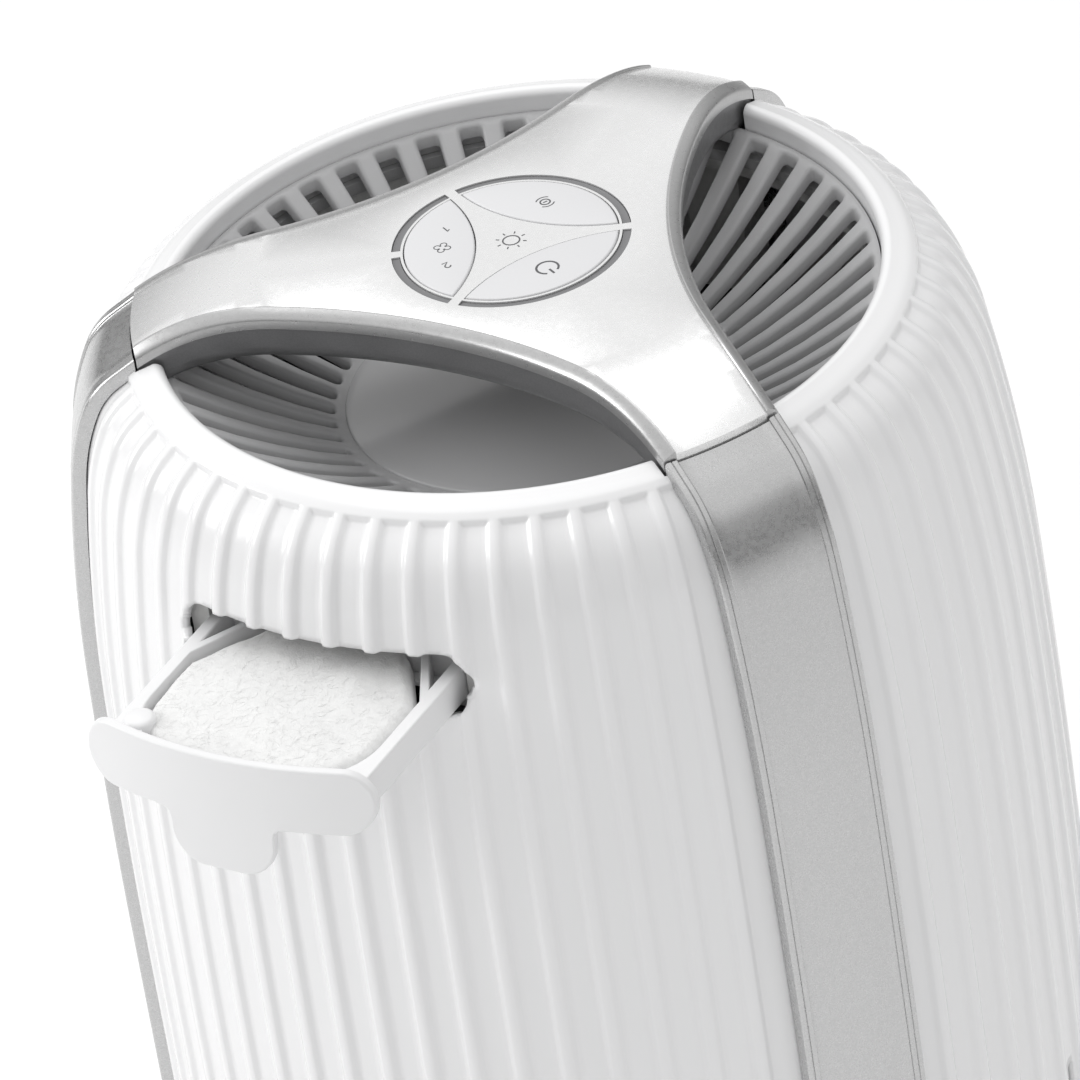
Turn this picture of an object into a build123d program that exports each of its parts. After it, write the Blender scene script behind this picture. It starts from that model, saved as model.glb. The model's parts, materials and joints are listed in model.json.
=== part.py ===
from build123d import *
from math import asin, cos, degrees, radians, sin, sqrt, tan
import os

# Tower air purifier: three fluted shells between three trim strips, a three-armed bridge
# with touch keys over a bowl grille, an aroma tray in the front shell, a fan above a
# pleated filter, and a twist-off cover underneath.
# Millimetres. Z is up, the floor is z = 0 and the body's axis is the Z axis.
# Azimuths are in degrees about Z from +X. The aroma tray faces -Y, azimuth 270.

os.makedirs("parts", exist_ok=True)

# ---------------------------------------------------------------- driving dimensions
BODY_R = 95.0               # outside of a trim strip where the side is upright
RIM_R = 70.0                # crest of the rim round the air outlet
RIM_Z = 308.0               # height of that crest
SHOULDER = (                # shoulder arcs: radius, tilt from upright where the arc ends
    (1800.0, 2.0),
    (370.0, 9.0),
    (50.0, 26.6),
    (17.0, 57.0),
)
ARM_AZIMUTHS = (90.0, 210.0, 330.0)      # bridge arms, strips and chassis posts
SHELL_AZIMUTHS = (270.0, 30.0, 150.0)    # middles of the shells
THIRD = 120.0

STRIP_W = 24.8              # trim strip and bridge arm
STRIP_T = 2.7
RAIL_W = 2.6                # raised rails along both edges of a strip and of the bridge
RAIL_H = 0.5
TONGUE_W = 14.0             # rib behind a strip, between two shells
TONGUE_T = 2.0
SHELL_INSET = 3.0           # shell surface behind the strip's surface
SHELL_T = 2.4
SHELL_GAP = 0.3
ROLL_R = 1.6                # rounding of the rim
FLANGE_DEPTH = 10.0         # inner lip of the rim
RIB_COUNT = 18
RIB_PITCH = 5.6             # degrees
RIB_SPAN = 1.4              # degrees
RIB_H = 0.9
RIB_TOP_R = 74.5
VENT_W = 2.4                # air intake slots between the ribs
VENT_H = 90.0
VENT_LOW_Z = 46.0

BASE_Z = 14.0               # top of the base ring, where shells and strips stand
BASE_LOW_Z = 4.0
BASE_SCREW_AT = 84.2
BASE_SCREW_SINK = 2.5
BASE_SCREW_L = 18.0
COVER_Z = 3.0               # underside of the filter cover
COVER_R = 81.0
COVER_T = 5.0
COVER_RIM_T = 4.0
COVER_RIM_H = 5.0
LUG_L = 3.6
LUG_H = 3.0
LUG_SPAN = 14.0             # degrees
TWIST = 20.0                # degrees from locked to free
FOOT_R = 76.0
FOOT_W = 10.0
FOOT_SEAT = 0.4
FIT = 0.3                   # gap between pieces that move past each other
GRIP_L = 42.0               # finger wells under the cover
GRIP_W = 17.0
GRIP_DEPTH = 3.2
GRIP_Y = 16.0

JOINT_GAP = 0.4             # between an arm's end and its strip
JOINT_R = 73.4              # where a strip's top meets the arm
JOINT_RISE = 1.2            # height of the strip there above the rim
BRIDGE_RISE = 9.3           # flat top of the bridge above the rim
DOME_FLAT_R = 48.0          # beyond this the top curves down
DOME_R = 48.0
WAIST = 32.0                # nearest distance of the bridge's edge to the axis
COVER_SIDE = 3.0            # height of the bridge cover's edge
PAN_SIDE = 7.4              # height of the bridge pan's edge
PLATE_T = 2.0
PAN_T = 1.6
PAN_SETBACK = 0.6
KEY_R = 20.5                # outer edge of the keys
KEY_APEX = 6.6              # nearest distance of a key to the axis
KEY_HALF_SPAN = 57.0        # degrees from a key's middle to its tip
KEY_GAP = 0.25
KEY_PROUD = 0.25
KEY_T = 2.2
KEY_TRAVEL = 0.5
STEM_R = 1.8
KEY_AZIMUTHS = {"ion_key": 90.0, "power_key": 330.0, "fan_speed_key": 210.0}
LIGHT_R_OUT = 22.7
LIGHT_R_IN = 21.0
LIGHT_GAP = 2.0
LIGHT_H = 4.0
LIGHT_SLACK = 0.05
LIGHT_SPANS = {"ion_light_guide": (30.0, 150.0), "speed_one_light_guide": (150.0, 210.0),
               "speed_two_light_guide": (210.0, 270.0), "power_light_guide": (270.0, 390.0)}
BOARD_R = 27.0
BOARD_T = 1.6
STANDOFF_H = 1.2
STANDOFF_AT = 24.0
SWITCH_AT = 13.6            # switches under the keys
SWITCH_W = 4.6
SWITCH_H = 2.0
LED_W = 1.6
LED_H = 0.9

SLOT_COUNT = 48             # outlet grille
SLOT_R_OUT = 67.0
SLOT_W_OUT = 4.6
SLOT_W_IN = 2.5
BOWL_RIM_Z = -5.8           # levels counted from the rim's crest
BOWL_HUB_Z = -24.0
HUB_R = 36.5
GRILLE_T = 3.0
GRILLE_FIT_R = 68.1
SEAT_R = 73.0
SEAT_T = 2.5
HUB_CAP_RISE = 3.0
HUB_CAP_EDGE = 0.8
HUB_CAP_GAP = 0.4
HUB_FLAT_R = 2.0
TOP_RING_T = 2.5
TOP_RING_R_IN = 67.2
TOP_RING_R_OUT = 79.5
POST_W = 12.0

DECK_Z = 142.0              # plate between filter and fan
DECK_T = 3.0
DECK_GAP = 1.1              # between the plate and the shells round it
DECK_R = BODY_R - SHELL_INSET - SHELL_T - DECK_GAP
INLET_R = 46.0
DUCT_R = 78.0
DUCT_T = 2.0
DUCT_HEADROOM = 48.0        # from the duct's top to the rim's crest
CRADLE_DROP = 86.0          # from the rim's crest to the motor cradle's top
CRADLE_H = 14.0
CRADLE_PLATE_T = 3.0
CRADLE_HUB_R = 30.0
VANE_COUNT = 7
VANE_T = 2.2
MOTOR_R = 24.0
MOTOR_H = 27.0
MOTOR_WALL = 1.6
MOTOR_SCREW_AT = 15.0
BEARING_R = 6.5
BEARING_H = 4.0
SHAFT_R = 2.5
RUNNING_GAP = 0.05
ROTOR_R = 9.6
STATOR_TEETH = 6
TIP_GAP = 4.0               # between blades and duct, for the blade tips' sweep
IMPELLER_R = DUCT_R - DUCT_T - TIP_GAP
IMPELLER_HUB_R = 30.0
IMPELLER_H = 27.0
IMPELLER_GAP = 3.0          # between hub and motor
BLADE_COUNT = 9
BLADE_CHORD = 36.0
BLADE_T = 1.8
BLADE_PITCH = 35.0          # degrees from level

FILTER_R = 71.5
FILTER_CORE_R = 44.0
FILTER_LOW_Z = 16.0
FILTER_CAP_T = 4.0
PLEATS = 44
PLEAT_T = 1.6
SLEEVE_T = 2.0
SEAL_H = 5.0
SEAL_W = 8.0

TRAY_TRAVEL = 32.0          # the tray stands open by this much
TRAY_TOP = -29.5            # levels counted from the rim's crest
TRAY_BOTTOM = -36.2
TRAY_HALF_W = 27.0
ARM_T = 2.6
TRAY_SETBACK = 22.0         # from the upright side in to the open tray's rear end
TRAY_REAR_Y = TRAY_SETBACK - BODY_R
GUSSET_W = 9.0
GUSSET_L = 17.0
GUSSET_WALL = 1.3
LEDGE_W = 4.0
LEDGE_T = 1.2
SLAT_COUNT = 4
REAR_WALL_T = 2.0
FRONT_W = 61.0
FRONT_H = 12.9
FRONT_MID = -32.25
FRONT_T = 2.2
FRONT_STAND = 0.4           # front plate's surface beyond the strip's surface
TAB_HALF_W = 11.5
TAB_TIP_HALF_W = 6.5
TAB_LOW = -49.0
SLOT_MID = -30.6
SLOT_W = 62.2
SLOT_H = 13.0
PAD_H = 5.5
PAD_GAP = 0.4
PAD_FRONT_GAP = 4.6         # the side leans in above the base by about this much at the tray
GUIDE_T = 4.0
GUIDE_SETBACK = 17.0        # from the upright side in to the guide's front end
GUIDE_L = 34.0
GUIDE_FRONT_Y = GUIDE_SETBACK - BODY_R
GUIDE_REAR_Y = GUIDE_FRONT_Y + GUIDE_L
LATCH_W = 16.0
LATCH_L = 14.0
PLUNGER_W = 5.0
PLUNGER_REACH = 10.0
PLUNGER_TRAVEL = 7.3

INLET_AZIMUTH = 0.0         # mains inlet
INLET_Z = 27.0
INLET_W = 22.0
INLET_H = 13.0
INLET_L = 17.0
SOCKET_W = 16.4
SOCKET_H = 9.0
SOCKET_DEPTH = 11.0
PIN_R = 1.2
PIN_PITCH = 8.6
PIN_L = 9.0
POWER_BOARD_AT = 78.0
POWER_BOARD_W = 44.0
POWER_BOARD_Z = (40.0, 120.0)
SCREW_R = 1.25
SCREW_HEAD_R = 2.2
SCREW_HEAD_H = 1.6
SCREW_SLACK = 0.05
LOOM_R = 2.0
LOOM_AT = 84.0
LOOM_START_DROP = 25.0      # below the mains board's top edge
OVERCUT = 1.0               # how far a cut runs past the face it opens
STANDOFF_R = 2.6
SWITCH_NIB_H = 0.6
KEY_FILLET = 0.3
FOOT_AT = 70.8              # bridge feet
FOOT_POST_R = 2.4
UPPER_POST = (79.2, 85.5)   # inner and outer faces of the chassis posts
LOWER_POST = (80.5, 87.5)
RING_POST_L = 8.5
GROMMET_R = 3.4
CRADLE_RIM_T = 2.0
MOTOR_BOSS_T = 2.0
YOKE_T = 3.0
TOOTH_W = 5.0
NUT_H = 3.0
NUT_R = 4.5
HUB_BORE_WALL = 4.0
BELL_FLARE = 8.0            # inlet bell: how far it flares and how tall it is
BELL_H = 7.0
BELL_T = 2.0
IONIZER_W = 30.0
IONIZER_L = 16.0
IONIZER_H = 9.0
IONIZER_Y = 14.0
NEEDLE_PITCH = 16.0
NEEDLE_R = 0.8
NEEDLE_BASE_L = 4.0
NEEDLE_TIP_L = 10.0
NEEDLE_TIP_R = 0.1
BEAM_T = 2.0                # cross beam under the tray guide's rails
BEAM_W = 10.0
GUIDE_FOOT_W = 6.0
LATCH_BACKSET = 6.0
TRANSFORMER = (7.0, 16.0, 18.0)
CAPACITOR_R = 3.5
CAPACITOR_H = 14.0
TERMINAL = (4.0, 6.0, 10.0)
TERMINAL_Y = 14.0
TRANSFORMER_UP = 22.0       # heights above the mains board's lower edge
CAPACITOR_UP = 50.0
TERMINAL_UP = 8.0

ON_BASE = (Align.CENTER, Align.CENTER, Align.MIN)
HANGING = (Align.CENTER, Align.CENTER, Align.MAX)
OUTWARD = (Align.MIN, Align.CENTER, Align.MIN)
FULL_H = 2 * RIM_Z


# ---------------------------------------------------------------- shared outlines
def radial_plane(azimuth, centre_y=0.0):
    """Upright plane through the axis: its x runs outwards, its y runs up."""
    a = radians(azimuth)
    return Plane(origin=(0, centre_y, 0), x_dir=(cos(a), sin(a), 0), z_dir=(sin(a), -cos(a), 0))


def level_plane(azimuth, z):
    """Level plane whose x runs outwards at the azimuth."""
    a = radians(azimuth)
    return Plane(origin=(0, 0, z), x_dir=(cos(a), sin(a), 0), z_dir=(0, 0, 1))


def shoulder_shape():
    """Centres of the shoulder's arcs, hung from the strip's top at JOINT_R."""
    centre = (BODY_R - SHOULDER[0][0], 0.0)
    centres = [centre]
    for (radius, tilt), (next_radius, _) in zip(SHOULDER, SHOULDER[1:]):
        step = radius - next_radius
        centre = (centre[0] + step * cos(radians(tilt)), centre[1] + step * sin(radians(tilt)))
        centres.append(centre)
    last_radius, last_tilt = SHOULDER[-1]
    end_r = centre[0] + last_radius * cos(radians(last_tilt))
    end_z = centre[1] + last_radius * sin(radians(last_tilt))
    lift = RIM_Z + JOINT_RISE - (end_r - JOINT_R) / tan(radians(last_tilt)) - end_z
    return [(r, z + lift) for r, z in centres]


CENTRES = shoulder_shape()


def shoulder_point(arc, tilt, inset):
    """Point of one shoulder arc, moved inwards by inset."""
    reach = SHOULDER[arc][0] - inset
    return (CENTRES[arc][0] + reach * cos(radians(tilt)), CENTRES[arc][1] + reach * sin(radians(tilt)))


def side(inset, low_z):
    """Draw the side's outline from low_z up over the shoulder; return its two ends."""
    foot = (BODY_R - inset, low_z)
    start = shoulder_point(0, 0.0, inset)
    Line(foot, start)
    tilt = 0.0
    for arc, (_, end_tilt) in enumerate(SHOULDER):
        end = shoulder_point(arc, end_tilt, inset)
        ThreePointArc(start, shoulder_point(arc, (tilt + end_tilt) / 2, inset), end)
        start, tilt = end, end_tilt
    return foot, start


def up_slope(point, r):
    """Carry the shoulder's last slope from a point in to radius r."""
    return (r, point[1] + (point[0] - r) / tan(radians(SHOULDER[-1][1])))


def side_band(plane, outer_inset, inner_inset, low_z, top_r):
    """Face between two insets of the side, from low_z up to radius top_r."""
    with BuildSketch(plane) as band:
        with BuildLine():
            outer_foot, outer_end = side(outer_inset, low_z)
            inner_foot, inner_end = side(inner_inset, low_z)
            outer_top = up_slope(outer_end, top_r)
            inner_top = up_slope(inner_end, top_r)
            Line(outer_end, outer_top)
            Line(outer_top, inner_top)
            Line(inner_top, inner_end)
            Line(inner_foot, outer_foot)
        make_face()
    return band.sketch


def dome_z(r):
    """Height of the bridge's top surface at radius r."""
    drop = 0.0
    if r > DOME_FLAT_R:
        drop = DOME_R - sqrt(DOME_R ** 2 - (r - DOME_FLAT_R) ** 2)
    return RIM_Z + BRIDGE_RISE - drop


BRIDGE_R = JOINT_R - JOINT_GAP / 2
BRIDGE_TOP = RIM_Z + BRIDGE_RISE


def bridge_slab(inset, top, bottom):
    """The bridge's plan shape between two depths below its domed top surface."""
    corner = radians(THIRD / 2 - degrees(asin(STRIP_W / 2 / BRIDGE_R)))
    bulge = BRIDGE_R * cos(corner) - WAIST
    scoop_r = (bulge ** 2 + (BRIDGE_R * sin(corner)) ** 2) / (2 * bulge)
    with BuildSketch(Plane.XY.offset(BRIDGE_TOP - DOME_R)) as plan:
        Circle(BRIDGE_R)
        with PolarLocations(WAIST + scoop_r, 3, start_angle=SHELL_AZIMUTHS[0]):
            Circle(scoop_r + inset, mode=Mode.SUBTRACT)
    with BuildSketch(Plane.XZ) as band:
        with BuildLine():
            for depth in (top, bottom):
                middle_r = (DOME_FLAT_R + BRIDGE_R) / 2
                Line((0, BRIDGE_TOP - depth), (DOME_FLAT_R, BRIDGE_TOP - depth))
                ThreePointArc((DOME_FLAT_R, BRIDGE_TOP - depth), (middle_r, dome_z(middle_r) - depth),
                              (BRIDGE_R, dome_z(BRIDGE_R) - depth))
            Line((0, BRIDGE_TOP - top), (0, BRIDGE_TOP - bottom))
            Line((BRIDGE_R, dome_z(BRIDGE_R) - top), (BRIDGE_R, dome_z(BRIDGE_R) - bottom))
        make_face()
    with BuildPart() as slab:
        extrude(plan.sketch, amount=2 * DOME_R)
        revolve(band.sketch, axis=Axis.Z, mode=Mode.INTERSECT)
    return slab.part


def key_outline(azimuth, z, grow):
    """Lens-shaped outline of a key, grown by a margin."""
    tip = radians(KEY_HALF_SPAN)
    depth = KEY_R * cos(tip) - KEY_APEX
    side_r = (depth ** 2 + (KEY_R * sin(tip)) ** 2) / (2 * depth)
    with BuildSketch(level_plane(azimuth, z)) as outline:
        Circle(KEY_R + grow)
        with Locations((KEY_APEX + side_r, 0)):
            Circle(side_r + grow, mode=Mode.INTERSECT)
    return outline.sketch


def light_outline(span, z, shrink):
    """Arc-shaped outline of a light guide between two azimuths."""
    inner, outer = LIGHT_R_IN + shrink, LIGHT_R_OUT - shrink
    trim = degrees((LIGHT_GAP / 2 + shrink) / LIGHT_R_IN)
    start, size = span[0] + trim, span[1] - span[0] - 2 * trim
    with BuildSketch(Plane.XY.offset(z)) as outline:
        with BuildLine():
            low = CenterArc((0, 0), inner, start, size)
            high = CenterArc((0, 0), outer, start, size)
            Line(low @ 0, high @ 0)
            Line(low @ 1, high @ 1)
        make_face()
    return outline.sketch


def ring(outer_r, inner_r, low_z, high_z, mode=Mode.ADD):
    """Upright tube in the part being built, or a disc when inner_r is zero."""
    with BuildSketch(Plane.XY.offset(low_z)) as section:
        Circle(outer_r)
        if inner_r > 0:
            Circle(inner_r, mode=Mode.SUBTRACT)
    extrude(section.sketch, amount=high_z - low_z, mode=mode)


def sector(outer_r, inner_r, low_z, high_z, middle, span, mode=Mode.ADD):
    """Part of an upright tube, span degrees wide about the azimuth middle."""
    with BuildSketch(radial_plane(middle - span / 2)) as section:
        with Locations(((outer_r + inner_r) / 2, (low_z + high_z) / 2)):
            Rectangle(outer_r - inner_r, high_z - low_z)
    revolve(section.sketch, axis=Axis.Z, revolution_arc=span, mode=mode)


def screws(places, head_z, length, head_up):
    """Round-headed screws: the shank runs up from a head underneath, or down from one on top."""
    turn = 1 if head_up else -1
    with BuildPart() as group:
        with Locations([(x, y, head_z) for x, y in places]):
            Cylinder(SCREW_HEAD_R, SCREW_HEAD_H, align=ON_BASE if head_up else HANGING)
            Cylinder(SCREW_R, length, align=HANGING if head_up else ON_BASE)
        with Locations([(x, y, head_z + turn * SCREW_HEAD_H) for x, y in places]):
            Box(0.6, 2.6, 1.2, mode=Mode.SUBTRACT)
            Box(2.6, 0.6, 1.2, mode=Mode.SUBTRACT)
    return group


def polar(r, azimuths):
    """Points at one radius and several azimuths."""
    return [(r * cos(radians(a)), r * sin(radians(a))) for a in azimuths]


def save(builder, name):
    """Label a finished piece and write it as one file."""
    builder.part.label = name
    export_step(builder.part, f"parts/{name}.step")


# ---------------------------------------------------------------- shells
SHELL_BACK = SHELL_INSET + SHELL_T
ROLL_CENTRE = (RIM_R, RIM_Z - ROLL_R)
LIP_R = RIM_R - ROLL_R
slope = radians(90 - SHOULDER[-1][1])

with BuildPart() as plain_shell:
    with BuildSketch(radial_plane(-THIRD / 2)):
        with BuildLine():
            outer_foot, outer_end = side(SHELL_INSET, BASE_Z)
            inner_foot, inner_end = side(SHELL_BACK, BASE_Z)
            roll_out = (RIM_R + ROLL_R * sin(slope), RIM_Z - ROLL_R + ROLL_R * cos(slope))
            Line(outer_end, roll_out)
            ThreePointArc(roll_out, (RIM_R, RIM_Z), (LIP_R, RIM_Z - ROLL_R))
            lip_back = up_slope(inner_end, LIP_R + SHELL_T)
            Polyline((LIP_R, RIM_Z - ROLL_R), (LIP_R, RIM_Z - FLANGE_DEPTH),
                     (LIP_R + SHELL_T, RIM_Z - FLANGE_DEPTH), lip_back, inner_end)
            Line(inner_foot, outer_foot)
        make_face()
    revolve(axis=Axis.Z, revolution_arc=THIRD)
    for k in range(RIB_COUNT):
        middle = (k - (RIB_COUNT - 1) / 2) * RIB_PITCH
        rib = side_band(radial_plane(middle - RIB_SPAN / 2), SHELL_INSET - RIB_H,
                        SHELL_INSET + RIB_H / 2, BASE_Z, RIB_TOP_R)
        revolve(rib, axis=Axis.Z, revolution_arc=RIB_SPAN)
    for k in range(RIB_COUNT - 1):
        middle = (k - (RIB_COUNT - 2) / 2) * RIB_PITCH
        with Locations(level_plane(middle, VENT_LOW_Z).location):
            with Locations((BODY_R - SHELL_BACK - OVERCUT, 0, 0)):
                Box(SHELL_T + 3 * OVERCUT, VENT_W, VENT_H, align=OUTWARD, mode=Mode.SUBTRACT)
    for azimuth in (-THIRD / 2, THIRD / 2):
        with Locations(level_plane(azimuth, 0).location):
            with Locations((LIP_R - 2 * OVERCUT, 0, 0)):
                Box(BODY_R, TONGUE_W + 2 * SHELL_GAP, FULL_H, align=OUTWARD, mode=Mode.SUBTRACT)
            with Locations((LIP_R - 2 * OVERCUT, 0, RIM_Z - FLANGE_DEPTH)):
                Box(JOINT_R - LIP_R + 2 * OVERCUT, STRIP_W + 2 * SHELL_GAP, FULL_H, align=OUTWARD,
                    mode=Mode.SUBTRACT)

with BuildPart() as shell_front:
    add(plain_shell.part.rotate(Axis.Z, SHELL_AZIMUTHS[0]))
    with BuildSketch(Plane.XZ.offset(BODY_R + 5)):
        with Locations((0, RIM_Z + SLOT_MID)):
            SlotOverall(SLOT_W, SLOT_H)
    extrude(amount=-(BODY_R / 2), mode=Mode.SUBTRACT)
save(shell_front, "fluted_shell_front")

with BuildPart() as shell_right:
    add(plain_shell.part.rotate(Axis.Z, SHELL_AZIMUTHS[1]))
    with Locations(level_plane(INLET_AZIMUTH, INLET_Z).location):
        with Locations((BODY_R / 2, 0, 0)):
            Box(BODY_R, INLET_W + SHELL_GAP, INLET_H + SHELL_GAP, mode=Mode.SUBTRACT,
                align=(Align.MIN, Align.CENTER, Align.CENTER))
save(shell_right, "fluted_shell_right")

with BuildPart() as shell_left:
    add(plain_shell.part.rotate(Axis.Z, SHELL_AZIMUTHS[2]))
save(shell_left, "fluted_shell_left")


# ---------------------------------------------------------------- trim strips
STRIP_TOP_R = JOINT_R + JOINT_GAP / 2
STRIP_SWEEP = 40.0          # degrees of the side that a strip is cut from

with BuildPart() as plain_strip:
    start = radial_plane(-STRIP_SWEEP / 2)
    revolve(side_band(start, 0, STRIP_T, BASE_Z, STRIP_TOP_R), axis=Axis.Z,
            revolution_arc=STRIP_SWEEP)
    Box(BODY_R * 2, STRIP_W, FULL_H, align=ON_BASE, mode=Mode.INTERSECT)
with BuildPart() as strip_hollow:
    start = radial_plane(-STRIP_SWEEP / 2)
    revolve(side_band(start, -OVERCUT, RAIL_H, BASE_Z - OVERCUT, RIM_R), axis=Axis.Z,
            revolution_arc=STRIP_SWEEP)
    Box(BODY_R * 2 + 10, STRIP_W - 2 * RAIL_W, FULL_H, align=ON_BASE, mode=Mode.INTERSECT)
with BuildPart() as strip_tongue:
    start = radial_plane(-STRIP_SWEEP / 2)
    revolve(side_band(start, STRIP_T - OVERCUT, STRIP_T + TONGUE_T, BASE_Z, JOINT_R + 1.5), axis=Axis.Z,
            revolution_arc=STRIP_SWEEP)
    Box(BODY_R * 2, TONGUE_W, FULL_H, align=ON_BASE, mode=Mode.INTERSECT)

for azimuth, name in zip(ARM_AZIMUTHS, ("rear", "left", "right")):
    with BuildPart() as strip:
        add(plain_strip.part.rotate(Axis.Z, azimuth))
        add(strip_hollow.part.rotate(Axis.Z, azimuth), mode=Mode.SUBTRACT)
        add(strip_tongue.part.rotate(Axis.Z, azimuth))
    save(strip, f"trim_strip_{name}")


# ---------------------------------------------------------------- bridge
GRILLE_SEAT_Z = RIM_Z - FLANGE_DEPTH - 0.2

with BuildPart() as bridge_cover:
    add(bridge_slab(0, 0, COVER_SIDE))
    add(bridge_slab(PLATE_T, PLATE_T, COVER_SIDE + OVERCUT), mode=Mode.SUBTRACT)
    add(bridge_slab(0, -RAIL_H, RAIL_H))
    add(bridge_slab(RAIL_W, -RAIL_H - OVERCUT, 0), mode=Mode.SUBTRACT)
    for azimuth in KEY_AZIMUTHS.values():
        extrude(key_outline(azimuth, BRIDGE_TOP - 2 * PLATE_T, 0), amount=3 * PLATE_T,
                mode=Mode.SUBTRACT)
    for span in LIGHT_SPANS.values():
        extrude(light_outline(span, BRIDGE_TOP - 2 * PLATE_T, 0), amount=3 * PLATE_T,
                mode=Mode.SUBTRACT)
save(bridge_cover, "bridge_cover")

PAN_DEPTH = COVER_SIDE + PAN_SIDE
PAN_FLOOR_Z = BRIDGE_TOP - PAN_DEPTH + PAN_T
BOARD_Z = PAN_FLOOR_Z + STANDOFF_H
BOARD_TOP = BOARD_Z + BOARD_T
STANDOFFS = polar(STANDOFF_AT, SHELL_AZIMUTHS)
FEET = polar(FOOT_AT, ARM_AZIMUTHS)

with BuildPart() as bridge_pan:
    add(bridge_slab(PAN_SETBACK, COVER_SIDE, PAN_DEPTH))
    add(bridge_slab(PAN_SETBACK + PAN_T, COVER_SIDE - OVERCUT, PAN_DEPTH - PAN_T), mode=Mode.SUBTRACT)
    with Locations([(x, y, PAN_FLOOR_Z - PAN_T / 2) for x, y in STANDOFFS]):
        Cylinder(STANDOFF_R, STANDOFF_H + PAN_T / 2, align=ON_BASE)
        Cylinder(SCREW_R + SCREW_SLACK, PAN_T + STANDOFF_H, align=ON_BASE, mode=Mode.SUBTRACT)
    with Locations([(x, y, GRILLE_SEAT_Z) for x, y in FEET]):
        Cylinder(FOOT_POST_R, dome_z(FOOT_AT) - PAN_DEPTH + PAN_T - GRILLE_SEAT_Z, align=ON_BASE)
        Cylinder(SCREW_R + SCREW_SLACK, PAN_DEPTH, align=ON_BASE, mode=Mode.SUBTRACT)
save(bridge_pan, "bridge_pan")

with BuildPart() as control_board:
    ring(BOARD_R, 0, BOARD_Z, BOARD_TOP)
    with Locations([(x, y, BOARD_Z) for x, y in STANDOFFS]):
        Cylinder(SCREW_R + SCREW_SLACK, BOARD_T, align=ON_BASE, mode=Mode.SUBTRACT)
save(control_board, "control_board")

board_screws = screws(STANDOFFS, BOARD_TOP, BOARD_T + STANDOFF_H, True)
save(board_screws, "board_screws")

KEY_UNDER = BRIDGE_TOP + KEY_PROUD - KEY_T
with BuildPart() as key_switches:
    with Locations([(x, y, BOARD_TOP) for x, y in polar(SWITCH_AT, KEY_AZIMUTHS.values())]):
        Box(SWITCH_W, SWITCH_W, SWITCH_H, align=ON_BASE)
        Cylinder(SWITCH_W / 4, SWITCH_H + SWITCH_NIB_H, align=ON_BASE)
save(key_switches, "key_switches")
SWITCH_TOP = BOARD_TOP + SWITCH_H + SWITCH_NIB_H

with BuildPart() as status_leds:
    for span in LIGHT_SPANS.values():
        middle = (span[0] + span[1]) / 2
        with Locations([(x, y, BOARD_TOP) for x, y in polar((LIGHT_R_IN + LIGHT_R_OUT) / 2, [middle])]):
            Box(LED_W, LED_W, LED_H, align=ON_BASE)
save(status_leds, "status_leds")

for name, span in LIGHT_SPANS.items():
    with BuildPart() as light_guide:
        extrude(light_outline(span, BRIDGE_TOP - LIGHT_H, LIGHT_SLACK), amount=LIGHT_H)
    save(light_guide, name)

for name, azimuth in KEY_AZIMUTHS.items():
    with BuildPart() as key:
        extrude(key_outline(azimuth, KEY_UNDER, -KEY_GAP), amount=KEY_T)
        rim = key.edges().group_by(Axis.Z)[-1]
        fillet(rim, KEY_FILLET)
        stem_low = SWITCH_TOP + KEY_TRAVEL + 0.1
        with Locations([(x, y, stem_low) for x, y in polar(SWITCH_AT, [azimuth])]):
            Cylinder(STEM_R, KEY_UNDER - stem_low, align=ON_BASE)
    save(key, name)


# ---------------------------------------------------------------- outlet grille
TOP_RING_TOP = GRILLE_SEAT_Z - SEAT_T
TOP_RING_LOW = TOP_RING_TOP - TOP_RING_T
HUB_TOP = RIM_Z + BOWL_HUB_Z
bowl_slope = (BOWL_RIM_Z - BOWL_HUB_Z) / (SLOT_R_OUT - HUB_R)

with BuildPart() as outlet_grille:
    with BuildSketch(Plane.XZ):
        with BuildLine():
            Polyline((0, HUB_TOP), (HUB_R, HUB_TOP), (SLOT_R_OUT, RIM_Z + BOWL_RIM_Z),
                     (GRILLE_FIT_R, RIM_Z + BOWL_RIM_Z), (GRILLE_FIT_R, GRILLE_SEAT_Z),
                     (SEAT_R, GRILLE_SEAT_Z), (SEAT_R, TOP_RING_TOP),
                     (SLOT_R_OUT, TOP_RING_TOP), (SLOT_R_OUT, RIM_Z + BOWL_RIM_Z - GRILLE_T),
                     (HUB_R, HUB_TOP - GRILLE_T),
                     (0, HUB_TOP - GRILLE_T), close=True)
        make_face()
    revolve(axis=Axis.Z)
    with BuildSketch(Plane.XY.offset(HUB_TOP - 2 * GRILLE_T)) as slots:
        with PolarLocations(0, SLOT_COUNT):
            Polygon((HUB_R + 1, -SLOT_W_IN / 2), (SLOT_R_OUT - 1, -SLOT_W_OUT / 2),
                    (SLOT_R_OUT - 1, SLOT_W_OUT / 2), (HUB_R + 1, SLOT_W_IN / 2), align=None)
    extrude(slots.sketch, amount=FLANGE_DEPTH * 3, mode=Mode.SUBTRACT)
    with Locations([(x, y, TOP_RING_TOP) for x, y in FEET]):
        Cylinder(SCREW_R + SCREW_SLACK, SEAT_T, align=ON_BASE, mode=Mode.SUBTRACT)
save(outlet_grille, "outlet_grille")

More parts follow.
